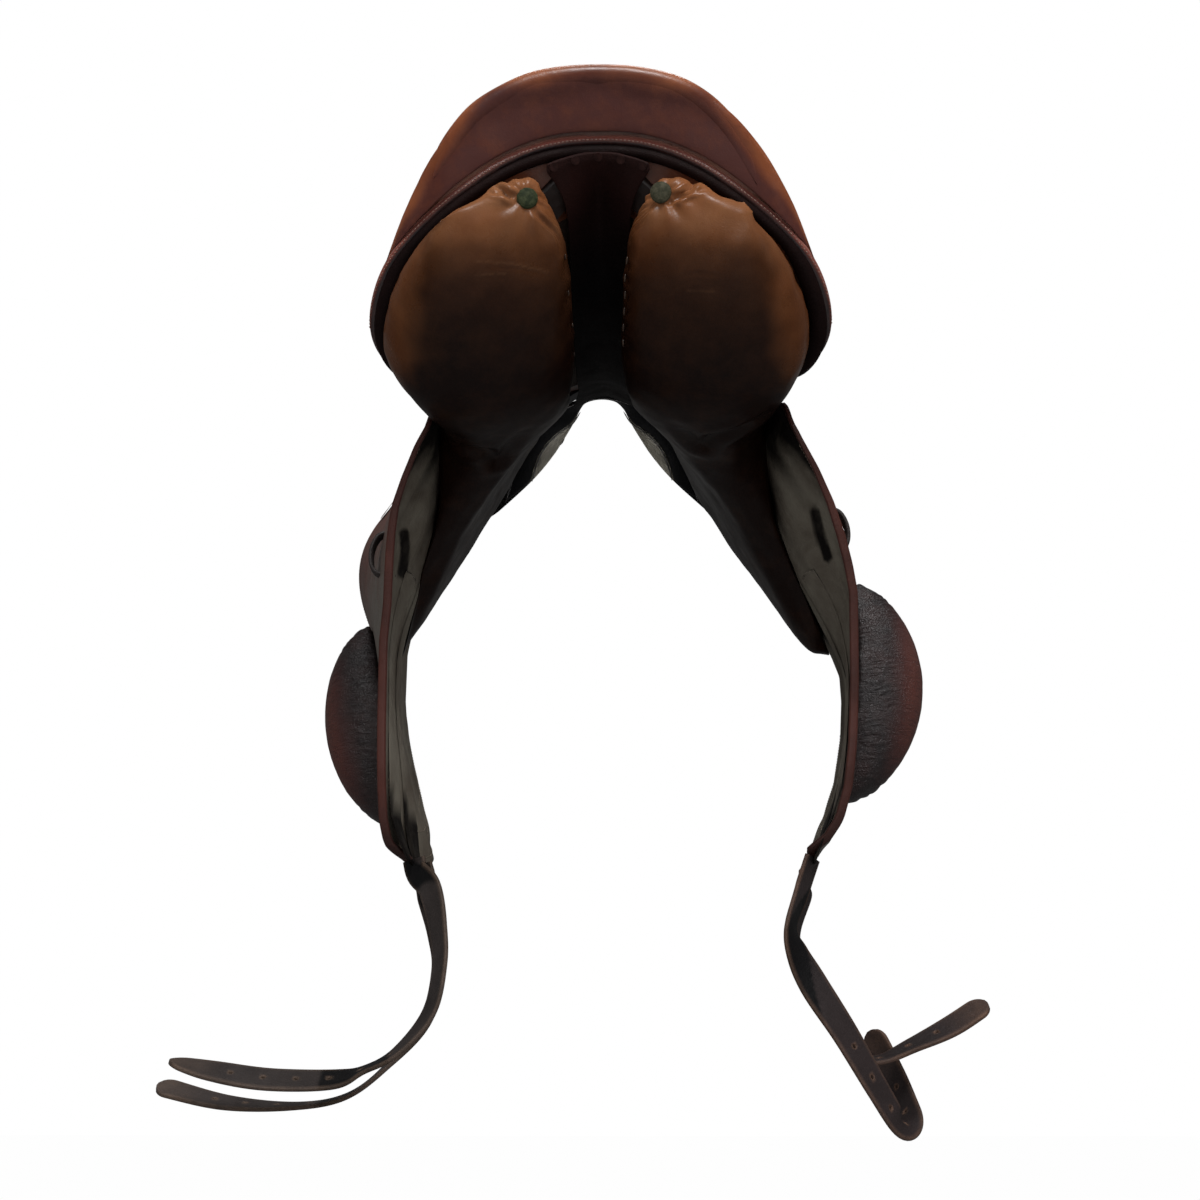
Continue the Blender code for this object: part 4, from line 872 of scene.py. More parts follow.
cantleForm = {
    "seamThread": {"Spacing": 0.0034, "Length": 0.0023, "Radius": 0.00055},
    "weltGuide": [(0.0, -0.2330, 0.1215), (0.050, -0.2320, 0.1160), (0.102, -0.2230, 0.0890),
                  (0.140, -0.2080, 0.0650), (0.177, -0.1790, 0.0370), (0.195, -0.138, 0.0080),
                  (0.182, -0.090, -0.0010), (0.153, -0.040, 0.0270)],
    "weltRadius": 0.0040,
    "weltRaise": 0.0068,
    "weltSwell": 0.0013,
    "lower": 0.0030,
    "proud": 0.0026,
    "rimDrop": 0.0070,
    "under": 0.0050,
    # the rim as seen from the eye, as upward and sideways slopes
    "outline": [(0.7860, -0.1795), (0.8190, -0.1668), (0.8525, -0.1466), (0.8676, -0.1336), (0.8780, -0.1197),
                (0.8983, -0.0875), (0.9034, -0.0636), (0.9055, -0.0405), (0.9055, -0.0078), (0.9026, 0.0210),
                (0.8919, 0.0572), (0.8726, 0.0843), (0.8571, 0.0981), (0.8372, 0.1116), (0.8084, 0.1246),
                (0.7745, 0.1352)],
    "roll": (0.0100, 0.0060),
    "rollProud": 0.0006,
    "rollInset": (0.0070, 0.0190),  # where the roll's middle and its lower guide lie, inside the outline
    "rimDepth": 0.886,  # from the eye to the rim, along y
    "rollEven": 12,
    # the facing's lower seam and its rim: distance from the middle, and height
    "lowEdge": ([0.0, 0.070, 0.102, 0.14, 0.177, 0.2], [0.129, 0.115, 0.096, 0.072, 0.045, 0.02]),
    "topEdge": ([0.0, 0.088, 0.136, 0.164, 0.18], [0.178, 0.160, 0.124, 0.096, 0.05]),
}


def facingRise(co):
    # 0 at the facing's lower seam, 1 at its rim
    sideways = np.abs(co[:, 0])
    low = np.interp(sideways, *cantleForm["lowEdge"])
    top = np.interp(sideways, *cantleForm["topEdge"])
    return (co[:, 2] - low) / np.maximum(top - low, 0.01)


def facingShade(piece):
    # orange-tan along the rim and down the sides, dark in the middle: the leather's tone, with painted light from above
    # making the rim band lighter
    co = coordsOf(piece)
    rise = np.clip(facingRise(co), 0.0, 1.2)
    uneven = 0.16 * noiseAt(co, 0.045, 4.0)
    middle = 1.0 - soften(0.66, 1.0, rise + 0.42 * soften(0.075, 0.15, np.abs(co[:, 0])) + uneven)
    aside = soften(-0.170, -0.125, co[:, 1])
    paint(piece, "shade", 0.97 * middle * (1.0 - aside) + 0.35 * aside)
    # the rim's lighter colour is partly real rubbing, partly a painted highlight
    paint(piece, "wearAndHighlight", 0.55 * soften(0.80, 1.0, rise) * (1.0 - aside))


def rimRoll(v, facing):
    # an oval roll along the rim; its back lies just proud of the facing, its top on the seen outline
    tree = treeOf(facing)
    line = smoothLine([(a, b, 0.0) for a, b in v["outline"]], 120)[:, :2]
    run = unit(np.gradient(line, axis=0))
    inward = np.stack([-run[:, 1], run[:, 0]], axis=1)
    inward = np.where((inward[:, 0] > 0)[:, None], -inward, inward)
    tall, thick = v["roll"]
    places = []
    for inset in v["rollInset"]:
        spots = []
        for (up, out), way in zip(line, inward):
            up, out = np.array((up, out)) + way * inset / v["rimDepth"]
            hit = tree.ray_cast(Vector(eye), Vector((out, 1.0, up)).normalized())[0]
            spots.append(hit[:] if hit is not None else (np.nan,) * 3)
        spots = np.array(spots)
        good = ~np.isnan(spots[:, 0])
        count = np.arange(len(spots))
        spots = np.stack([np.interp(count, count[good], spots[good, k]) for k in range(3)], axis=1)
        for _ in range(v["rollEven"]):
            spots[1:-1] = (spots[:-2] + spots[1:-1] * 2 + spots[2:]) / 4
        places.append(spots)
    upward = unit(places[0] - places[1])
    along = unit(np.gradient(places[0], axis=0))
    inner = unit(np.cross(along, upward))
    inner = np.where((inner[:, 1] < 0)[:, None], -inner, inner)
    ends = np.minimum(1.0, 0.05 + 4.0 * np.sin(np.linspace(0.0, math.pi, len(line))))
    rows = []
    for k in range(len(line)):
        middle = places[0][k] + inner[k] * (thick * ends[k] - v["rollProud"])
        rows.append([middle + upward[k] * tall * ends[k] * math.sin(q) + inner[k] * thick * ends[k] * math.cos(q)
                     for q in np.linspace(0.0, 2 * math.pi, 29)[:-1]])
    roll = sweep("rimRoll", rows, looks["facing"], False, 80.0)
    facingShade(roll)
    finished(roll, "saddle", "facing")


def makeCantle(v):
    facing = smoothNode("cantleBack", "cantle_facing", "facing", 2)
    co = coordsOf(facing)
    back = soften(-0.10, -0.16, co[:, 1])
    rise = facingRise(co)
    roll = soften(0.45, 1.0, rise)
    co[:, 1] -= v["proud"] * back * roll
    co[:, 2] -= v["lower"] * back * soften(0.45, 0.0, rise) + v["rimDrop"] * back * roll
    setCoords(facing, co)
    facingShade(facing)
    finished(facing, "saddle", "facing", "cantle_facing")
    rimRoll(v, facing)
    welt = smoothNode("cantleWelt", "cantle_welt", "welt", 2)
    bump(welt, np.full(len(welt.data.vertices), v["weltSwell"]))
    co = coordsOf(welt)
    co[:, 2] += v["weltRaise"] * soften(-0.12, -0.21, co[:, 1])
    setCoords(welt, co)
    rough = smoothLine(v["weltGuide"], 60, True)
    right = tubeMiddle(welt, rough, 0.006)
    middle = np.vstack([(right * mirror)[::-1][:-1], right])
    along = unit(np.gradient(middle, axis=0))
    away = unit(np.cross(along, (0.0, 0.0, 1.0)))
    away = np.where((away[:, 1] < 0)[:, None], away, -away)
    down = unit(away - np.array([0.0, 0.0, 0.55]))
    co = coordsOf(welt)
    far, share = distanceTo(co, middle)
    spot = np.clip((share * (len(middle) - 1)).astype(int), 0, len(middle) - 1)
    facingDown = np.sum((co - middle[spot]) * np.cross(along, away)[spot], axis=1) / v["weltRadius"]
    facingDown = np.where(np.sum(np.cross(along, away) * (0, 0, 1.0), axis=1)[spot] > 0, -facingDown, facingDown)
    # painted shade on the welt's underside and a painted highlight along its upper side
    paint(welt, "shade", 0.95 * soften(0.35, 0.80, facingDown))
    paint(welt, "wearAndHighlight", 0.75 * soften(0.1, -0.6, facingDown))
    finished(welt, "saddle", "welt", "cantle_welt")
    # a dark second cord fills the gap between the welt and the panels, standing in for the shadow in that gap
    second = middle + (0.0, 0.0035, -v["weltRadius"] - v["under"] * 0.7)
    lateral = soften(0.150, 0.186, np.abs(middle[:, 0]))
    second[:, 0] -= np.sign(middle[:, 0]) * 0.0060 * lateral
    second[:, 2] += 0.0040 * lateral
    cord = cordAlong("weltUnder", second, v["under"] + 0.0032 * lateral, "lining")
    paint(cord, "shade", np.full(len(cord.data.vertices), 0.6))
    finished(cord, "saddle", "welt")
    row = middle + down * (v["weltRadius"] + v["weltSwell"] - 0.0001)
    sewnRows("weltThread", [row], "saddle", v["seamThread"], "paleThread", "welt")


makeCantle(cantleForm)
print("stage: cantle")

# Panels: two wool-filled bulbs, puckered at their buttons and along the gullet

panelForm = {
    "voxel": 0.0046,
    "shrink": 0.0016,
    "pressure": 4.5,
    "stiffness": 9.0,
    "cap": 0.0060,
    "button": {"left": (-0.058, -0.2286, 0.0744), "right": (0.0512, -0.2275, 0.0777)},
    "buttonPull": 0.0035,
    # seen from the eye: outward and upward slope of each bulb's crest under the welt
    "crest": {"left": [(0.0, 0.90), (0.1087, 0.80), (0.1266, 0.7632), (0.151, 0.7481), (0.1818, 0.7158),
                       (0.1985, 0.685), (0.2076, 0.6515), (0.2109, 0.6003), (0.23, 0.50)],
              "right": [(0.0, 0.90), (0.0606, 0.80), (0.0715, 0.7784), (0.0866, 0.7706), (0.1141, 0.7559),
                        (0.1365, 0.7226), (0.158, 0.6798), (0.1673, 0.6525), (0.1699, 0.6206), (0.19, 0.50)]},
    # upward and outward slope of each panel's outer wall in front
    "wall": {"left": [(0.5401, 0.1520), (0.5207, 0.1500), (0.5016, 0.1490), (0.4492, 0.1523), (0.4209, 0.1562),
                      (0.3914, 0.1632), (0.3667, 0.1661), (0.3373, 0.1729), (0.3228, 0.177), (0.3118, 0.1781)],
             "right": [(0.5377, 0.1150), (0.5184, 0.1140), (0.4964, 0.1172), (0.4599, 0.1249), (0.4288, 0.1285),
                       (0.4035, 0.1364), (0.3787, 0.1442), (0.3543, 0.1543), (0.3302, 0.1643), (0.3141, 0.1713)]},
    # the same for the fold between the bulb and the front
    "under": {"left": [(0.5286, 0.1695), (0.515, 0.1551), (0.5044, 0.1392), (0.4995, 0.1244), (0.4965, 0.1124),
                       (0.4898, 0.1028), (0.5011, 0.0962), (0.5173, 0.0845)],
              "right": [(0.5393, 0.1379), (0.526, 0.1201), (0.5156, 0.1008), (0.5091, 0.0784), (0.5016, 0.0679),
                        (0.5093, 0.0613), (0.5208, 0.0513)]},
    "strip": {"left": (0.170, 0.198), "right": (0.126, 0.152)},
    # how dark the panel is painted, by upward slope: painted shade from the light above, partly the leather's own
    # darker lower parts
    "shadeUp": [0.55, 0.60, 0.631, 0.6515, 0.673, 0.690, 0.705, 0.722, 0.745, 0.77],
    "shadeLevel": [0.995, 0.965, 0.94, 0.915, 0.87, 0.80, 0.68, 0.46, 0.20, 0.06],
    # folds in the view from behind: line of x and z, width, depth
    "folds": {
        "left": [([(-0.0860, 0.0840), (-0.0790, 0.0790), (-0.0726, 0.0740), (-0.0665, 0.0722)], 0.0028, 0.0034),
                 ([(-0.0900, 0.0785), (-0.0840, 0.0755), (-0.0783, 0.0738)], 0.0020, 0.0018),
                 ([(-0.0790, 0.0880), (-0.0730, 0.0835), (-0.0690, 0.0800)], 0.0018, 0.0010),
                 ([(-0.0540, 0.0640), (-0.0440, 0.0590), (-0.0350, 0.0540), (-0.0290, 0.0450)], 0.0022, 0.0014),
                 ([(-0.0490, 0.0680), (-0.0400, 0.0640), (-0.0330, 0.0600)], 0.0018, 0.0009),
                 ([(-0.1000, 0.0190), (-0.0780, 0.0210), (-0.0560, 0.0220), (-0.0400, 0.0215)], 0.0013, 0.0004),
                 ([(-0.0960, 0.0120), (-0.0760, 0.0150)], 0.0013, 0.0003)],
        "right": [([(0.0600, 0.0700), (0.0690, 0.0755), (0.0760, 0.0800), (0.0775, 0.0870)], 0.0028, 0.0036),
                  ([(0.0560, 0.0690), (0.0640, 0.0715), (0.0731, 0.0738), (0.0860, 0.0770)], 0.0020, 0.0018),
                  ([(0.0240, 0.0690), (0.0310, 0.0712), (0.0440, 0.0712)], 0.0014, 0.0011),
                  ([(0.0230, 0.0640), (0.0320, 0.0662), (0.0440, 0.0690)], 0.0013, 0.0010),
                  ([(0.0220, 0.0590), (0.0320, 0.0625), (0.0440, 0.0668)], 0.0015, 0.0012),
                  ([(0.0250, 0.0540), (0.0330, 0.0585), (0.0400, 0.0620)], 0.0013, 0.0008),
                  ([(0.0650, 0.0150), (0.0800, 0.0160), (0.0980, 0.0120)], 0.0014, 0.0004)],
    },
    "lobe": {"left": (-0.0610, 0.0900), "right": (0.0560, 0.0930)},
    "lobeRise": 0.0026,
    # scratch lines, drawn the same way
    "scratches": {"left": [[(-0.099, 0.024), (-0.0725, 0.0244), (-0.0419, 0.0246)],
                           [(-0.0994, 0.0147), (-0.0768, 0.0174)]],
                  "right": [[(0.0215, 0.0560), (0.0260, 0.0500)], [(0.072, 0.006), (0.094, 0.003)]]},
    # the laced seam on the wall beside the gullet, drawn as y and z
    "lacing": {"left": [(-0.1950, 0.0440), (-0.1810, 0.0290), (-0.1600, 0.0160), (-0.1350, 0.0040), (-0.110, -0.0050)],
               "right": [(-0.1930, 0.0400), (-0.1790, 0.0280), (-0.1540, 0.0090), (-0.1300, -0.0060)]},
    "laceStep": {"left": 0.026, "right": 0.0128},
    "lace": {"Spacing": 0.0128, "Length": 0.0075, "Radius": 0.0011},
    "laceLeft": {"Spacing": 0.026, "Length": 0.0050, "Radius": 0.0008},
}


def trimBulb(panel, side, v):
    # the bulb's shoulder rounds off under the welt and the front keeps clear of the flap's inner face
    co = coordsOf(panel)
    up, out = slopes(co, side)
    crest = np.array(v["crest"][side])
    over = np.maximum(0.0, up - np.interp(out, crest[:, 0], crest[:, 1]) + 0.005)
    deep = co[:, 1] - eye[1]
    co[:, 2] -= soften(0.04, -0.04, co[:, 1]) * deep * (over - 0.006 * (1.0 - np.exp(-over / 0.006)))
    up, out = slopes(co, side)
    over = np.maximum(0.0, out - onLine(up, v["wall"][side]))
    co[:, 0] -= sides[side] * soften(0.500, 0.462, up) * deep * over * 0.93
    low = soften(-0.135, -0.200, co[:, 2])
    co[:, 2] -= 0.010 * low * low
    setCoords(panel, co)
    relaxed(panel, 4)


def makePanel(side, v):
    panel = copyOfNode("panelSkin_" + side, "panel_" + side, looks["panel"])
    remeshed(panel, v["voxel"])
    relaxed(panel, 4)
    setCoords(panel, coordsOf(panel) - normalsOf(panel) * v["shrink"])
    plump(panel, v)
    trimBulb(panel, side, v)
    refine(panel, 1)
    knot = np.array(v["button"][side])
    refineNear(panel, [knot, knot + (0.018 * sides[side], 0.0, 0.004), knot - (0.022 * sides[side], 0.0, 0.010)], 0.030)
    co = coordsOf(panel)
    far = np.linalg.norm(co - knot, axis=1)
    amount = -v["buttonPull"] * np.exp(-(far / 0.012) ** 2)
    angle = np.arctan2(co[:, 2] - knot[2], co[:, 0] - knot[0])
    ripples = np.cos(angle * 9 + 1.3 * np.sin(angle * 2 + 0.6))
    amount += 0.0008 * ripples * np.exp(-((far - 0.018) / 0.011) ** 2)
    tree = treeOf(panel)
    top = fromBehind(tree, [v["lobe"][side], (v["lobe"][side][0], v["lobe"][side][1] - 0.004)], 3)
    if len(top):
        amount += v["lobeRise"] * np.exp(-(np.linalg.norm((co - top[-1]) * (0.6, 1.0, 1.0), axis=1) / 0.011) ** 2)
    bump(panel, amount)
    tree = treeOf(panel)
    line = fromEye(tree, side, v["under"][side])
    if len(line) > 3:
        crease(panel, line, 0.0085, 0.0060, 0.25)
    for pairs, width, depth in v["folds"][side]:
        line = fromBehind(tree, pairs)
        if len(line) > 3:
            crease(panel, line, width, depth)
    lacing = fromGullet(tree, side, v["lacing"][side], 60)
    co = coordsOf(panel)
    far, share = distanceTo(co, lacing)
    total = float(np.sum(np.linalg.norm(np.diff(lacing, axis=0), axis=1)))
    wave = np.cos(2 * math.pi * share * total / v["laceStep"][side])
    ends = soften(0.0, 0.05, share) * soften(1.0, 0.95, share)
    bump(panel, ends * (0.0012 * wave * np.exp(-(far / 0.0065) ** 2) - 0.0016 * np.exp(-(far / 0.0022) ** 2)))
    co = coordsOf(panel)
    bump(panel, 0.0012 * noiseAt(co, 0.055, 3.0 if side == "left" else 8.0)
         + 0.0004 * noiseAt(co, 0.016, 5.0))
    co = coordsOf(panel)
    # painted shade, partly the leather's own dark stain: darker downward, lighter along the outer strip, near-black at
    # the front and on the walls beside the gullet
    up, out = slopes(co, side)
    uneven = noiseAt(co, 0.035, 6.0)
    height = up + 0.010 * uneven + 0.006 * noiseAt(co, 0.012, 9.0)
    if side == "right":
        height += 0.010 * soften(0.10, 0.14, out)
    dark = np.interp(height, v["shadeUp"], v["shadeLevel"])
    strip = soften(*v["strip"][side], out + 0.008 * noiseAt(co, 0.02, 4.0))
    dark *= 1.0 - 0.45 * strip * soften(0.545, 0.60, up)
    dark = np.maximum(dark, 0.985 * soften(-0.10, -0.05, co[:, 1]))
    inner = soften(0.050, 0.024, np.abs(co[:, 0])) * soften(0.76, 0.70, up)
    dark = np.maximum(dark, 0.90 * inner)
    paint(panel, "shade", dark)
    # a painted highlight across the upper bulb, plus scratch lines of real wear
    rubAndHighlight = 0.34 * soften(0.700, 0.735, up) * soften(-0.13, -0.20, co[:, 1]) * soften(-0.5, 0.5, noiseAt(co, 0.03, 2.0))
    for pairs in v["scratches"][side]:
        line = fromBehind(tree, pairs, 30)
        far, share = distanceTo(co, line)
        rubAndHighlight += 0.22 * np.exp(-(far / 0.0009) ** 2)
    paint(panel, "wearAndHighlight", 0.8 * rubAndHighlight)
    finished(panel, "saddle", "panel", "panel_" + side)
    out = -sides[side] * 0.0004
    sewnRows("panelLace_" + side, [lacing[2:-2] + (out, 0.0, 0.0)], "saddle",
             v["lace"] if side == "right" else v["laceLeft"], "lacing", "panel")
    return panel


panelSkins = {side: makePanel(side, panelForm) for side in sides}
print("stage: panels")

# Gullet lining, arch band and pommel lining

archForm = {
    "level": 2,
    "rear": [(0.0, 0.1215), (0.025, 0.1165), (0.047, 0.1060), (0.067, 0.0900), (0.082, 0.0700), (0.092, 0.0440),
             (0.099, 0.0200), (0.1055, -0.0060)],
    "front": [(0.0, 0.1340), (0.0165, 0.1290), (0.0250, 0.1150), (0.0340, 0.1000), (0.0500, 0.0880),
              (0.0650, 0.0700), (0.0735, 0.0500), (0.0785, 0.0280)],
    "place": (0.195, 0.215),
    "shift": -0.0040,
    "cord": {"rear": 0.0009, "front": 0.0007},
    "liningOn": 0.020,
    "liningWide": 0.32,
}


def makeArch(v):
    lining = smoothNode("gulletSkin", "gullet_lining", "lining", v["level"])
    co = coordsOf(lining)
    # the lining runs forward and wider in front, a dark sheet over the shaded crown of the arch, and is painted darker
    # toward the front: painted shade deep in the channel
    fore = soften(0.08, 0.15, co[:, 1])
    co[:, 1] += v["liningOn"] * fore
    co[:, 0] *= 1.0 + v["liningWide"] * fore
    setCoords(lining, co)
    paint(lining, "shade", soften(-0.225, -0.12, co[:, 1]))
    finished(lining, "saddle", "lining", "gullet_lining")
    band = smoothNode("archBand", "head_lining", "band", v["level"])
    finished(band, "saddle", "band", "head_lining")
    pale = smoothNode("pommelLining", "pommel_facing", "beige", v["level"])
    co = coordsOf(pale)
    # painted shade: darker at the top and bottom of the pommel lining, near-black beyond the band's front edge as seen
    # from behind
    dark = 0.30 * soften(0.09, 0.12, co[:, 2]) + 0.30 * soften(0.02, -0.02, co[:, 2])
    for side in sides:
        line = np.array([(x * sides[side] + v["shift"], v["place"][1], z) for x, z in v["front"]])
        up, out = slopes(line, side)
        seenUp, seenOut = slopes(co, side)
        dark = np.maximum(dark, soften(-0.001, 0.003, seenOut - onLine(seenUp, list(zip(up, out)))))
    paint(pale, "shade", dark)
    finished(pale, "saddle", "beige", "pommel_facing")
    for which, y in zip(("rear", "front"), v["place"]):
        right = smoothLine([(x, y, z) for x, z in v[which]], 60, True)
        if which == "front":
            right = right[14:]
            lines = [right, right * mirror]
        else:
            lines = [np.vstack([(right * mirror)[::-1][:-1], right])]
        for number, line in enumerate(lines):
            line = line + (v["shift"], -0.0003, -0.0003)
            cord = cordAlong("archCord_" + which + "_" + str(number), line, v["cord"][which], "paleEdge")
            finished(cord, "saddle", "band")


makeArch(archForm)
print("stage: arch")

# Flaps: one long leather sheet on each side with a window for the stirrup bar

flapForm = {
    "hingeFront": (0.1000, 0.200, 0.1030),
    "hingeRear": (0.1462, -0.080, 0.0092),
    "full": {"right": 0.100, "left": 0.079},
    "fullDepth": 0.240,
    "curl": 0.48,
    "turn": {"right": 0.066, "left": 0.120},
    "turnLow": {"right": 0.072, "left": 0.048},
    "twist": (0.120, 0.380),
    "shift": -0.0065,
    "thick": 0.0044,
    "outline": [(0.060, 0.0520), (0.190, 0.0950), (0.226, 0.0600), (0.238, -0.0400), (0.236, -0.1400),
                (0.226, -0.2300), (0.204, -0.3200), (0.160, -0.3850), (0.095, -0.4200), (0.035, -0.4170),
                (0.012, -0.3600), (0.0, -0.2860), (-0.020, -0.2000), (-0.050, -0.1150), (-0.078, -0.0560),
                (-0.058, -0.0200), (-0.020, 0.0220)],
    "centre": (0.090, -0.170),
    "window": ((0.046, 0.168), (0.010, 0.066)),
    "rings": 34,
    "around": 220,
    "thread": {"Spacing": 0.0034, "Length": 0.0024, "Radius": 0.00036},
    "rear": [(-0.43, 0.050), (-0.417, 0.035), (-0.36, 0.012), (-0.286, 0.0), (-0.20, -0.020), (-0.115, -0.050),
             (-0.056, -0.078)],
    "reach": 0.110,
    # upward and outward slopes from the eye: the bound rear edge, and how far in the inner face runs
    "rim": {"left": [(0.5306, 0.1679), (0.5228, 0.1693), (0.5018, 0.1777), (0.4755, 0.1858), (0.4495, 0.1921),
                     (0.4239, 0.194), (0.3987, 0.1943), (0.3617, 0.1939), (0.3306, 0.1953), (0.2993, 0.1943),
                     (0.2612, 0.1929), (0.2106, 0.19), (0.184, 0.1869), (0.1655, 0.182), (0.1578, 0.1723),
                     (0.1548, 0.166)],
            "right": [(0.5394, 0.137), (0.518, 0.1514), (0.48, 0.168), (0.4494, 0.178), (0.4184, 0.1852),
                      (0.3934, 0.1894), (0.3688, 0.1918), (0.2973, 0.1878), (0.2619, 0.1846), (0.2426, 0.1826),
                      (0.2093, 0.1772), (0.1829, 0.1686), (0.1691, 0.1586), (0.16, 0.1458)]},
    "inner": {"left": [(0.5401, 0.1410), (0.5207, 0.1450), (0.5016, 0.1511), (0.4492, 0.154), (0.4209, 0.1578),
                       (0.3914, 0.1648), (0.3667, 0.1678), (0.3373, 0.1745), (0.3177, 0.1776), (0.2784, 0.1771),
                       (0.2522, 0.1742), (0.224, 0.1672), (0.1925, 0.1586), (0.1723, 0.1507), (0.1547, 0.1453)],
              "right": [(0.5377, 0.1030), (0.5184, 0.1090), (0.4964, 0.1189), (0.4599, 0.1266), (0.4288, 0.1302),
                        (0.4035, 0.1381), (0.3787, 0.1459), (0.3543, 0.1559), (0.3302, 0.1659), (0.3141, 0.1729),
                        (0.2973, 0.1783), (0.2767, 0.1785), (0.2458, 0.1757), (0.2117, 0.1689), (0.1852, 0.1588),
                        (0.1661, 0.1462), (0.1555, 0.141)]},
    # keeper slots, drawn the same way
    "slot": {"left": [(0.4256, 0.1815), (0.4067, 0.1797), (0.388, 0.1812)],
             "right": [(0.4422, 0.1625), (0.4204, 0.1654), (0.4006, 0.1709)]},
    "binding": (0.0078, 0.0050),
}


def hingeAt(y):
    front, rear = flapForm["hingeFront"], flapForm["hingeRear"]
    t = (y - rear[1]) / (front[1] - rear[1])
    return rear[0] + (front[0] - rear[0]) * t, rear[2] + (front[2] - rear[2]) * t


def flapX(side, y, z):
    v = flapForm
    hx, hz = hingeAt(y)
    d = hz - z
    curl = v["curl"] if d > v["fullDepth"] else 1.0
    drop = v["full"][side] * (1.0 - curl * (1.0 - d / v["fullDepth"]) ** 2)
    ease = 1.0 - math.exp(-max(d, 0.0) / 0.090)
    share = float(soften(v["twist"][0], v["twist"][1], d))
    turn = v["turn"][side] + (v["turnLow"][side] - v["turn"][side]) * share
    return hx + drop + ease * (turn * y / 0.2 + v["shift"])


def flapFace(side, y, z, inner, lift=0.0):
    # outer face: the flap's own curve, led to its seen rear edge; inner face: run in to the panel's wall
    v = flapForm
    rear = np.array(v["rear"])
    edge = float(np.interp(z, rear[:, 0], rear[:, 1]))
    deep, below = y - eye[1], hingeAt(y)[1] - z
    free = float(soften(0.030, 0.085, below))

    def seen(table, y, z):
        d = y - eye[1]
        return float(onLine((z - eye[2]) / d, v[table][side])) * d + sides[side] * eye[0]

    low = float(soften(-0.03, -0.07, z))
    shift = (seen("rim", edge, z) - flapX(side, edge, z)) * low
    outer = flapX(side, y, z) + shift * float(soften(0.11, 0.0, y - edge))
    share = free * float(soften(0.002, v["reach"], y - edge)) * float(soften(0.236, 0.205, y))
    target = seen("inner", y, z) - 0.006 * float(soften(0.14, 0.18, y))
    within = outer - v["thick"] + (target - outer + v["thick"]) * share
    if inner:
        return np.array([within - lift, y, z])
    return np.array([max(outer, within + v["thick"]) + lift, y, z])


def flapPoint(side, y, z, out=0.0):
    e = 0.002
    here = np.array([flapX(side, y, z), y, z])
    dy = np.array([flapX(side, y + e, z) - flapX(side, y - e, z), 2 * e, 0.0])
    dz = np.array([flapX(side, y, z + e) - flapX(side, y, z - e), 0.0, 2 * e])
    return here + unit(np.cross(dy, dz)) * out


def sheetMesh(name, side, loop, centre, thick, outAt, rings, look):
    middle = np.array(centre)
    rows = []
    for sign in (1.0, -1.0):
        shares = list(np.linspace(0.0, 1.0, rings + 1)[1:-1]) + [1.0 - 0.3 * thick / 0.15]
        shares = [1e-3] + shares + [1.0]
        if sign < 0:
            shares = shares[::-1]
        for share in shares:
            near = 0.0 if share < 0.9999 else -thick * 0.3
            ring = []
            for p in loop:
                q = middle + (p - middle) * share
                ring.append(flapFace(side, q[0], q[1], sign < 0, near) + (outAt(q[0], q[1]), 0.0, 0.0))
            rows.append(placed(ring, side))
    return sweep(name, rows, look, False, 70.0)


def flapWave(y, z):
    low = float(soften(-0.30, -0.42, z))
    return low * 0.0016 * math.sin(y * 55.0 + z * 20.0)


def windowTool(side, v):
    (y0, y1), (d0, d1) = v["window"]
    rows = []
    for x in (0.085, 0.200):
        ring = []
        for k in range(48):
            t = 2 * math.pi * k / 48
            c, s = math.cos(t), math.sin(t)
            y = (y0 + y1) / 2 + (y1 - y0) / 2 * math.copysign(abs(c) ** 0.35, c)
            z = hingeAt(y)[1] - (d0 + d1) / 2 + (d1 - d0) / 2 * math.copysign(abs(s) ** 0.45, s)
            ring.append((x, y, z))
        rows.append(placed(ring, side))
    return sweep("windowTool", rows, None)


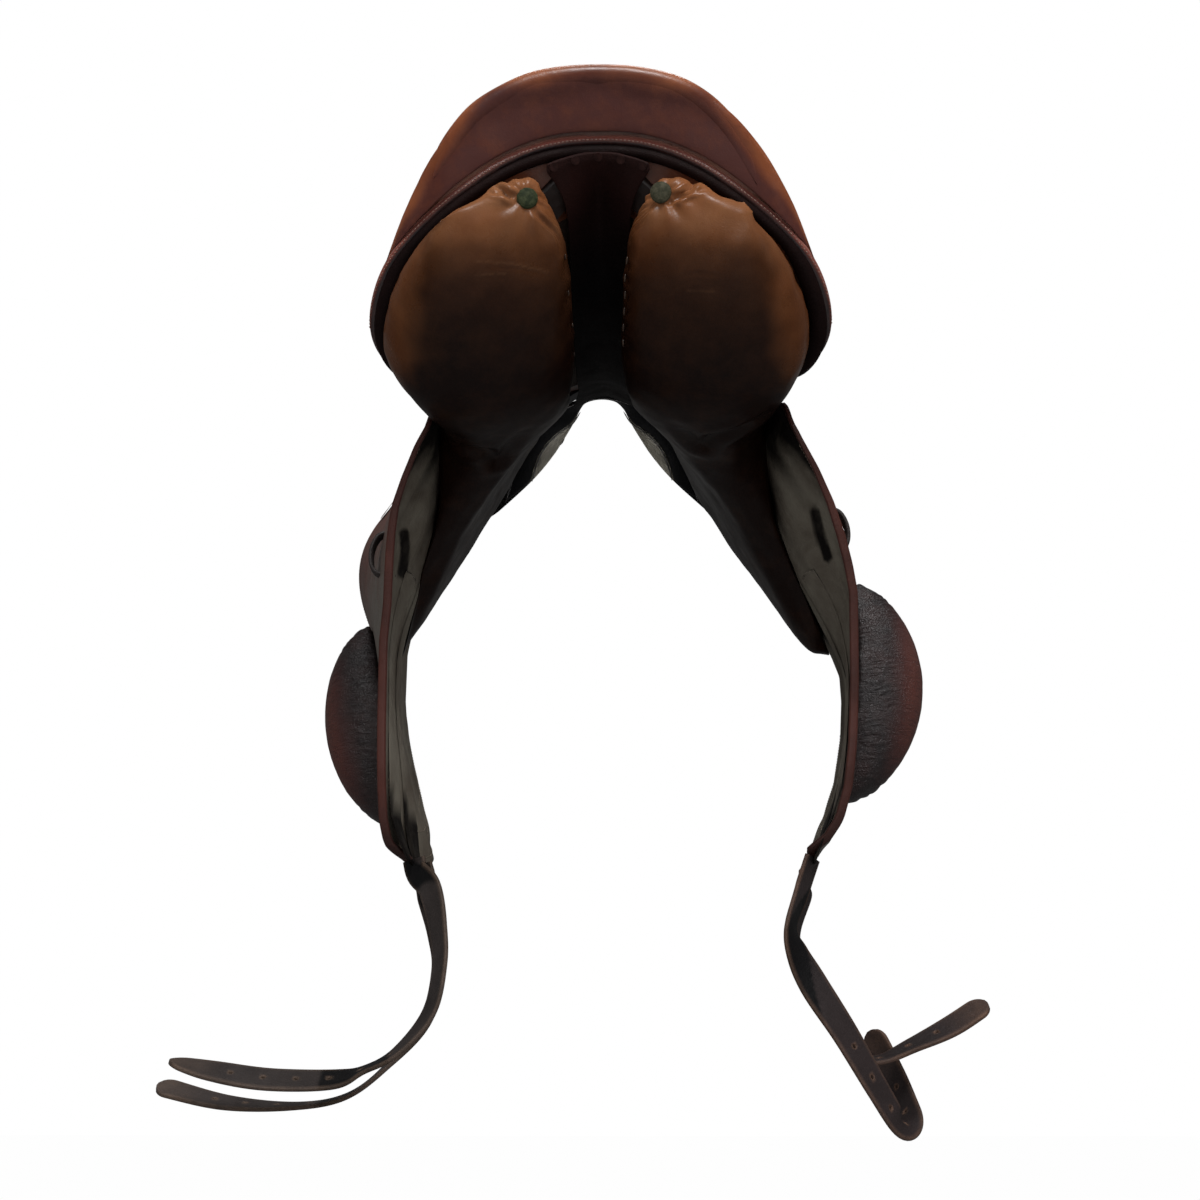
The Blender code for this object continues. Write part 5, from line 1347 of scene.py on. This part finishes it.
def makeFlap(side, v):
    loop = closedLine(v["outline"], v["around"])
    flap = sheetMesh("flapSkin_" + side, side, loop, v["centre"], v["thick"], flapWave, v["rings"], looks["flap"])
    tool = windowTool(side, v)
    step = flap.modifiers.new("window", "BOOLEAN")
    step.object = tool
    step.solver = "EXACT"
    bake(flap)
    bpy.data.objects.remove(tool, do_unlink=True)
    flap.data.materials.clear()
    flap.data.materials.append(looks["flap"])
    flap.data.materials.append(looks["flapFace"])
    outward = np.array([sides[side], 0.0, 0.25])
    for face in flap.data.polygons:
        face.material_index = 1 if np.dot(face.normal, outward) > 0.0 else 0
    co = coordsOf(flap)
    up, out = slopes(co, side)
    streak = 0.46 * np.array([noise.noise(Vector((y * 70.0, z * 6.0, 1.0))) for x, y, z in co])
    # painted shadow on the inner face: black at the top, where the panel shades it, and along where it meets the
    # panel's wall
    dark = 0.97 * soften(0.455, 0.505, up + 0.35 * (out - onLine(up, v["rim"][side])) + 0.03 * streak)
    dark = np.maximum(dark, 0.85 * soften(0.012, 0.0, out - onLine(up, v["inner"][side])) * soften(0.40, 0.44, up))
    # the keeper slots are painted only: dark patches, painted shade in the openings
    slot = np.array(v["slot"][side])
    slotLine = smoothLine([(a, b, 0.0) for a, b in slot], 30)
    far, share = distanceTo(np.stack([up, out, 0.0 * up], axis=1), slotLine)
    dark = np.maximum(dark, soften(0.0050, 0.0032, far))
    # on the outer face the same attribute greys the leather toward the bottom: a painted sheen
    outside = np.array([abs(x) > flapFace(side, y, z, True)[0] + 0.003 for x, y, z in co])
    dark = np.where(outside, soften(-0.05, -0.22, co[:, 2]), dark)
    paint(flap, "shade", dark + streak * (dark < 0.9))
    finished(flap, "flap_" + side, "flap", "flap_" + side)
    # two rows of thread inside the edge on both faces
    middle = np.array(v["centre"])
    rows = []
    for inset, start, end in ((0.958, 0.22, 0.86), (0.86, 0.40, 0.62)):
        part = loop[int(start * len(loop)):int(end * len(loop))]
        for inner in (False, True):
            row = []
            for p in part:
                q = middle + (p - middle) * inset
                row.append(flapFace(side, q[0], q[1], inner, 0.0002) + (flapWave(q[0], q[1]), 0.0, 0.0))
            rows.append(placed(row, side))
    sewnRows("flapThread_" + side, rows, "flap_" + side, v["thread"], "thread", "flap")
    # the binding round the rear and lower edge
    part = [p for p in loop if p[0] < 0.150 and p[1] < -0.025]
    part.sort(key=lambda p: math.atan2(p[1] + 0.17, p[0] - 0.16) % (2 * math.pi))
    line = []
    for p in part:
        q = p + (middle - p) * 0.004
        line.append((flapFace(side, q[0], q[1], False) + flapFace(side, q[0], q[1], True)) / 2
                    + (flapWave(q[0], q[1]), 0.0, 0.0))
    line = evenLine(np.array(line), 160)
    along = unit(np.gradient(line, axis=0))
    widths = unit(np.array([1.0, 0.0, 0.0]) - along * along[:, :1])
    grown = 0.55 + 0.45 * soften(-0.05, -0.16, line[:, 2])
    shape = pill(v["binding"][0], v["binding"][1], 5, 0.0018)
    edge = sweep("flapEdge_" + side, bandRows(placed(line, side), placed(widths, side), shape, grown), looks["edge"])
    co = coordsOf(edge)
    # painted shade near the binding's top, under the panel, and darker toward its bottom end
    paint(edge, "shade", 0.55 * soften(-0.12, -0.03, co[:, 2]) + 0.6 * soften(-0.36, -0.41, co[:, 2]))
    finished(edge, "flap_" + side, "edge", "flap_edge_" + side)


for side in sides:
    makeFlap(side, flapForm)
print("stage: flaps")

# Knee blocks: padded and wrinkled at the flap, with painted shade where they meet it, red-brown at the crest

blockForm = {
    "voxel": 0.0042,
    "shrink": 0.0012,
    "pressure": 3.0,
    "stiffness": 12.0,
    "cap": 0.0030,
    "raise": {"left": 0.0, "right": 0.009},
    "inward": {"left": 0.004, "right": 0.0},
}


def makeBlock(side, v):
    block = copyOfNode("blockSkin_" + side, "knee_block_" + side, looks["block"])
    remeshed(block, v["voxel"])
    relaxed(block, 4)
    setCoords(block, coordsOf(block) - normalsOf(block) * v["shrink"])
    plump(block, v)
    refine(block, 1)
    co = coordsOf(block)
    out = np.array([abs(x) - flapX(side, y, z) for x, y, z in co])
    led = np.array([flapFace(side, y, z, False)[0] - flapX(side, y, z) for x, y, z in co])
    co[:, 0] += sides[side] * np.minimum(led, 0.0) * soften(0.070, 0.015, out)
    co[:, 0] -= sides[side] * v["inward"][side] * soften(0.070, 0.015, out)
    co[:, 2] += v["raise"][side]
    setCoords(block, co)
    low = 1.0 - soften(0.032, 0.066, out)
    folds = np.sin((co[:, 2] + 0.15 * co[:, 1]) * 900.0 + 6.0 * noiseAt(co, 0.018, 2.0))
    bump(block, 0.0006 * low * folds * soften(-0.4, 0.3, noiseAt(co, 0.02, 5.0)))
    # painted shade where the block meets the flap; lighter at the crest
    paint(block, "shade", 0.95 * low)
    paint(block, "wearAndHighlight", 0.4 * soften(0.048, 0.060, out))
    finished(block, "flap_" + side, "block", "knee_block_" + side)


for side in sides:
    makeBlock(side, blockForm)
print("stage: knee blocks")

# Skirts and keepers

skirtForm = {
    "level": 2,
    "clear": 0.0020,
    "keeperSwell": 0.0009,
    "keeperMove": {"left": (0.007, 0.0, 0.010), "right": (-0.013, 0.0, 0.031)},
}


def makeSkirt(side, v):
    # the skirt's rear lies close on the flap
    skirt = smoothNode("skirtSkin_" + side, "skirt_" + side, "flapFace", v["level"])
    co = coordsOf(skirt)
    for k, (x, y, z) in enumerate(co):
        hug = flapFace(side, y, z, False)[0] + v["clear"]
        share = float(soften(0.045, 0.005, z))
        co[k, 0] = sides[side] * (abs(x) + min(0.0, hug - abs(x)) * share)
    setCoords(skirt, co)
    finished(skirt, "skirt_" + side, "skirt", "skirt_" + side)


def makeKeeper(side, v):
    keeper = smoothNode("keeperLoop_" + side, "keeper_" + side, "strap", v["level"])
    bump(keeper, np.full(len(keeper.data.vertices), v["keeperSwell"]))
    setCoords(keeper, coordsOf(keeper) + v["keeperMove"][side])
    finished(keeper, "flap_" + side, "strap", "keeper_" + side)


for side in sides:
    makeSkirt(side, skirtForm)
    makeKeeper(side, skirtForm)
print("stage: skirts and keepers")

# Billets: long straps with punched holes

billetForm = {
    "width": 0.0270,
    "thick": 0.0038,
    "joint": -0.422,
    "webClear": 0.0032,
    "place": {"front": 0.072, "rear": 0.036},
    "course": {
        ("left", "front"): [(0.060, -0.448, 0.156, 50), (0.056, -0.480, 0.147, 38), (0.046, -0.512, 0.142, 30),
                            (0.042, -0.555, 0.151, 26), (0.044, -0.590, 0.181, 12), (0.048, -0.614, 0.214, 8),
                            (0.049, -0.6220, 0.256, 7), (0.048, -0.6195, 0.315, 18),
                            (0.045, -0.6060, 0.374, 26)],
        ("left", "rear"): [(0.022, -0.448, 0.149, 50), (0.016, -0.480, 0.140, 38), (0.007, -0.512, 0.136, 30),
                           (0.004, -0.550, 0.143, 28), (0.004, -0.580, 0.168, 18), (0.006, -0.5935, 0.193, 12),
                           (0.006, -0.6010, 0.217, 30), (0.002, -0.6010, 0.270, 34),
                           (-0.002, -0.5945, 0.315, 28), (-0.006, -0.5870, 0.349, 8)],
        ("right", "front"): [(0.060, -0.448, 0.178, 24), (0.048, -0.485, 0.166, 18), (0.038, -0.520, 0.175, 20),
                             (0.032, -0.555, 0.194, 22), (0.030, -0.582, 0.212, 14), (0.030, -0.586, 0.228, 10),
                             (0.030, -0.5745, 0.256, 18), (0.030, -0.560, 0.288, 30),
                             (0.030, -0.541, 0.320, 30)],
        ("right", "rear"): [(0.026, -0.450, 0.170, 30), (0.014, -0.478, 0.159, 24), (0.008, -0.500, 0.161, 46),
                            (0.004, -0.528, 0.173, 68), (0.002, -0.566, 0.196, 58), (0.001, -0.608, 0.219, 48),
                            (0.008, -0.634, 0.236, 42), (0.038, -0.629, 0.248, 36), (0.060, -0.602, 0.245, 36),
                            (0.068, -0.562, 0.228, 40)],
    },
    "samples": 150,
    "holeRadius": 0.0018,
    # painted shadow on strap faces turned from the light: from and to in metres along the strap, and lean across its
    # width
    "dark": {
        ("left", "front"): [(0.0, 0.055, 1.4), (0.225, 0.258, 0.0)],
        ("left", "rear"): [(0.0, 0.030, 0.8), (0.190, 0.250, 0.0)],
        ("right", "front"): [(0.0, 0.012, 0.0)],
        ("right", "rear"): [(0.045, 0.120, 2.4)],
    },
    "holeFrom": 0.050,
    "holeStep": 0.0265,
    "holes": 6,
}


def billetLine(side, which, v):
    behind = -flapForm["thick"] / 2 - v["thick"] / 2 - v["webClear"]
    baseY = v["place"][which]
    low = flapPoint(side, baseY, v["joint"], behind)
    second = flapPoint(side, baseY, v["joint"] - 0.012, behind)
    # the fourth number is the turn of the strap about its own line, made small beside the metres
    small = 0.00001
    first = small * v["course"][(side, which)][0][3]
    guide = [(*low, first), (*second, first)]
    guide += [(x, y, z, small * degrees) for y, z, x, degrees in v["course"][(side, which)]]
    course = smoothLine(guide, v["samples"])
    line = course[:, :3]
    along = unit(np.gradient(line, axis=0))
    level = np.array([0.0, 1.0, 0.0])
    angle = np.radians(course[:, 3] / small)[:, None]
    widths = level * np.cos(angle) + np.cross(along, level) * np.sin(angle)
    return placed(line, side), placed(widths, side)


def makeBillet(side, which, v):
    line, widths = billetLine(side, which, v)
    total = float(np.sum(np.linalg.norm(np.diff(line, axis=0), axis=1)))
    # a flat strap first, its holes cut, then bent along its line
    shape = pill(v["width"], v["thick"] * 0.92, 4, 0.0012, 8)
    count = 170
    rows = []
    for k in range(count):
        s = total * k / (count - 1)
        left = total - s
        tip = math.sqrt(max(0.03, 1.0 - (1.0 - min(1.0, left / 0.012)) ** 2))
        rows.append([(s, a * tip, b) for a, b in shape])
    strap = sweep("billetStrap_" + which + "_" + side, rows, looks["strap"])
    tools = []
    for k in range(v["holes"]):
        s = total - v["holeFrom"] - k * v["holeStep"]
        ring = [(s + v["holeRadius"] * math.cos(q), v["holeRadius"] * math.sin(q))
                for q in np.linspace(0, 2 * math.pi, 15)[:-1]]
        tools.append(sweep("punch", [[(x, y, z) for x, y in ring] for z in (-0.01, 0.01)], None))
    for tool in tools:
        step = strap.modifiers.new("hole", "BOOLEAN")
        step.object = tool
        step.solver = "EXACT"
    bake(strap)
    for tool in tools:
        bpy.data.objects.remove(tool, do_unlink=True)
    along = unit(np.gradient(line, axis=0))
    wide = unit(widths - along * np.sum(widths * along, axis=1, keepdims=True))
    face = np.cross(along, wide)
    run = np.concatenate([[0.0], np.cumsum(np.linalg.norm(np.diff(line, axis=0), axis=1))])
    co = coordsOf(strap)
    s = np.clip(co[:, 0], 0.0, total)
    pick = [np.stack([np.interp(s, run, table[:, k]) for k in range(3)], axis=1) for table in (line, wide, face)]
    setCoords(strap, pick[0] + unit(pick[1]) * co[:, 1:2] + unit(pick[2]) * co[:, 2:3])
    rubAndHighlight = 0.4 * soften(0.35, 0.5, np.abs(co[:, 1]) / v["width"]) + 0.3 * soften(0.05, 0.0, np.abs(total - co[:, 0]))
    for k in range(v["holes"]):
        far = np.hypot(co[:, 0] - total + v["holeFrom"] + k * v["holeStep"], co[:, 1])
        rubAndHighlight += 0.6 * soften(0.0034, 0.0020, far)
    paint(strap, "wearAndHighlight", rubAndHighlight)
    # painted shadow on the stretches where the strap's face turns from the light
    dark = np.zeros(len(co))
    for begin, end, lean in v["dark"][(side, which)]:
        shifted = co[:, 0] + lean * co[:, 1]
        part = soften(begin - 0.002, begin + 0.002, shifted) * soften(end + 0.002, end - 0.002, shifted)
        dark = np.maximum(dark, part)
    paint(strap, "shade", dark)
    strap.data.materials.clear()
    strap.data.materials.append(looks["brownStrap" if side == "right" else "strap"])
    finished(strap, "billet_" + which + "_" + side, "strap", "billet_" + which + "_" + side)


def makeWeb(side, which, v):
    # the strap's upper part, flat against the flap's inner face
    web = smoothNode("webStrap_" + which + "_" + side, "billet_web_" + which + "_" + side, "flap", 1)
    co = coordsOf(web)
    moved = []
    for x, y, z in co:
        inner = flapFace(side, y, z, True)[0] - 0.0006
        lie = inner - 0.25 * max(0.0, inner - abs(x))
        share = float(soften(0.0, -0.06, z) * soften(-0.425, -0.375, z))
        lap = 0.009 * float(soften(-0.385, -0.412, z))
        moved.append((sides[side] * (abs(x) + (min(lie, inner) - abs(x)) * share), y, z - lap))
    setCoords(web, np.array(moved))
    # painted shadow on the web's lower end, where the strap's shaded face shows
    paint(web, "shade", 0.98 * soften(-0.366, -0.372, co[:, 2] + 0.5 * (co[:, 1] - v["place"][which])))
    finished(web, "saddle", "flap", "billet_web_" + which + "_" + side)


for side in sides:
    for which in ("front", "rear"):
        makeBillet(side, which, billetForm)
        makeWeb(side, which, billetForm)
print("stage: billets")

# Metal and the hidden frame keep their own solids

for side in sides:
    for node in ("stirrup_bar_", "bar_catch_", "dee_staple_", "dee_ring_"):
        giveLook(bpy.data.objects[node + side], "steel")
    giveLook(bpy.data.objects["panel_button_" + side], "greenBrass" if side == "left" else "greyBrass")
    giveLook(bpy.data.objects["pommel_nail_" + side], "greyBrass")
for number in range(1, 6):
    giveLook(bpy.data.objects["lining_nail_" + str(number)], "nail")
giveLook(bpy.data.objects["tree_frame"], "wood")
giveLook(bpy.data.objects["head_plate"], "blackPaint")
giveLook(bpy.data.objects["seat_webbing"], "linen")
print("stage: metal and frame")

print("stage: done")
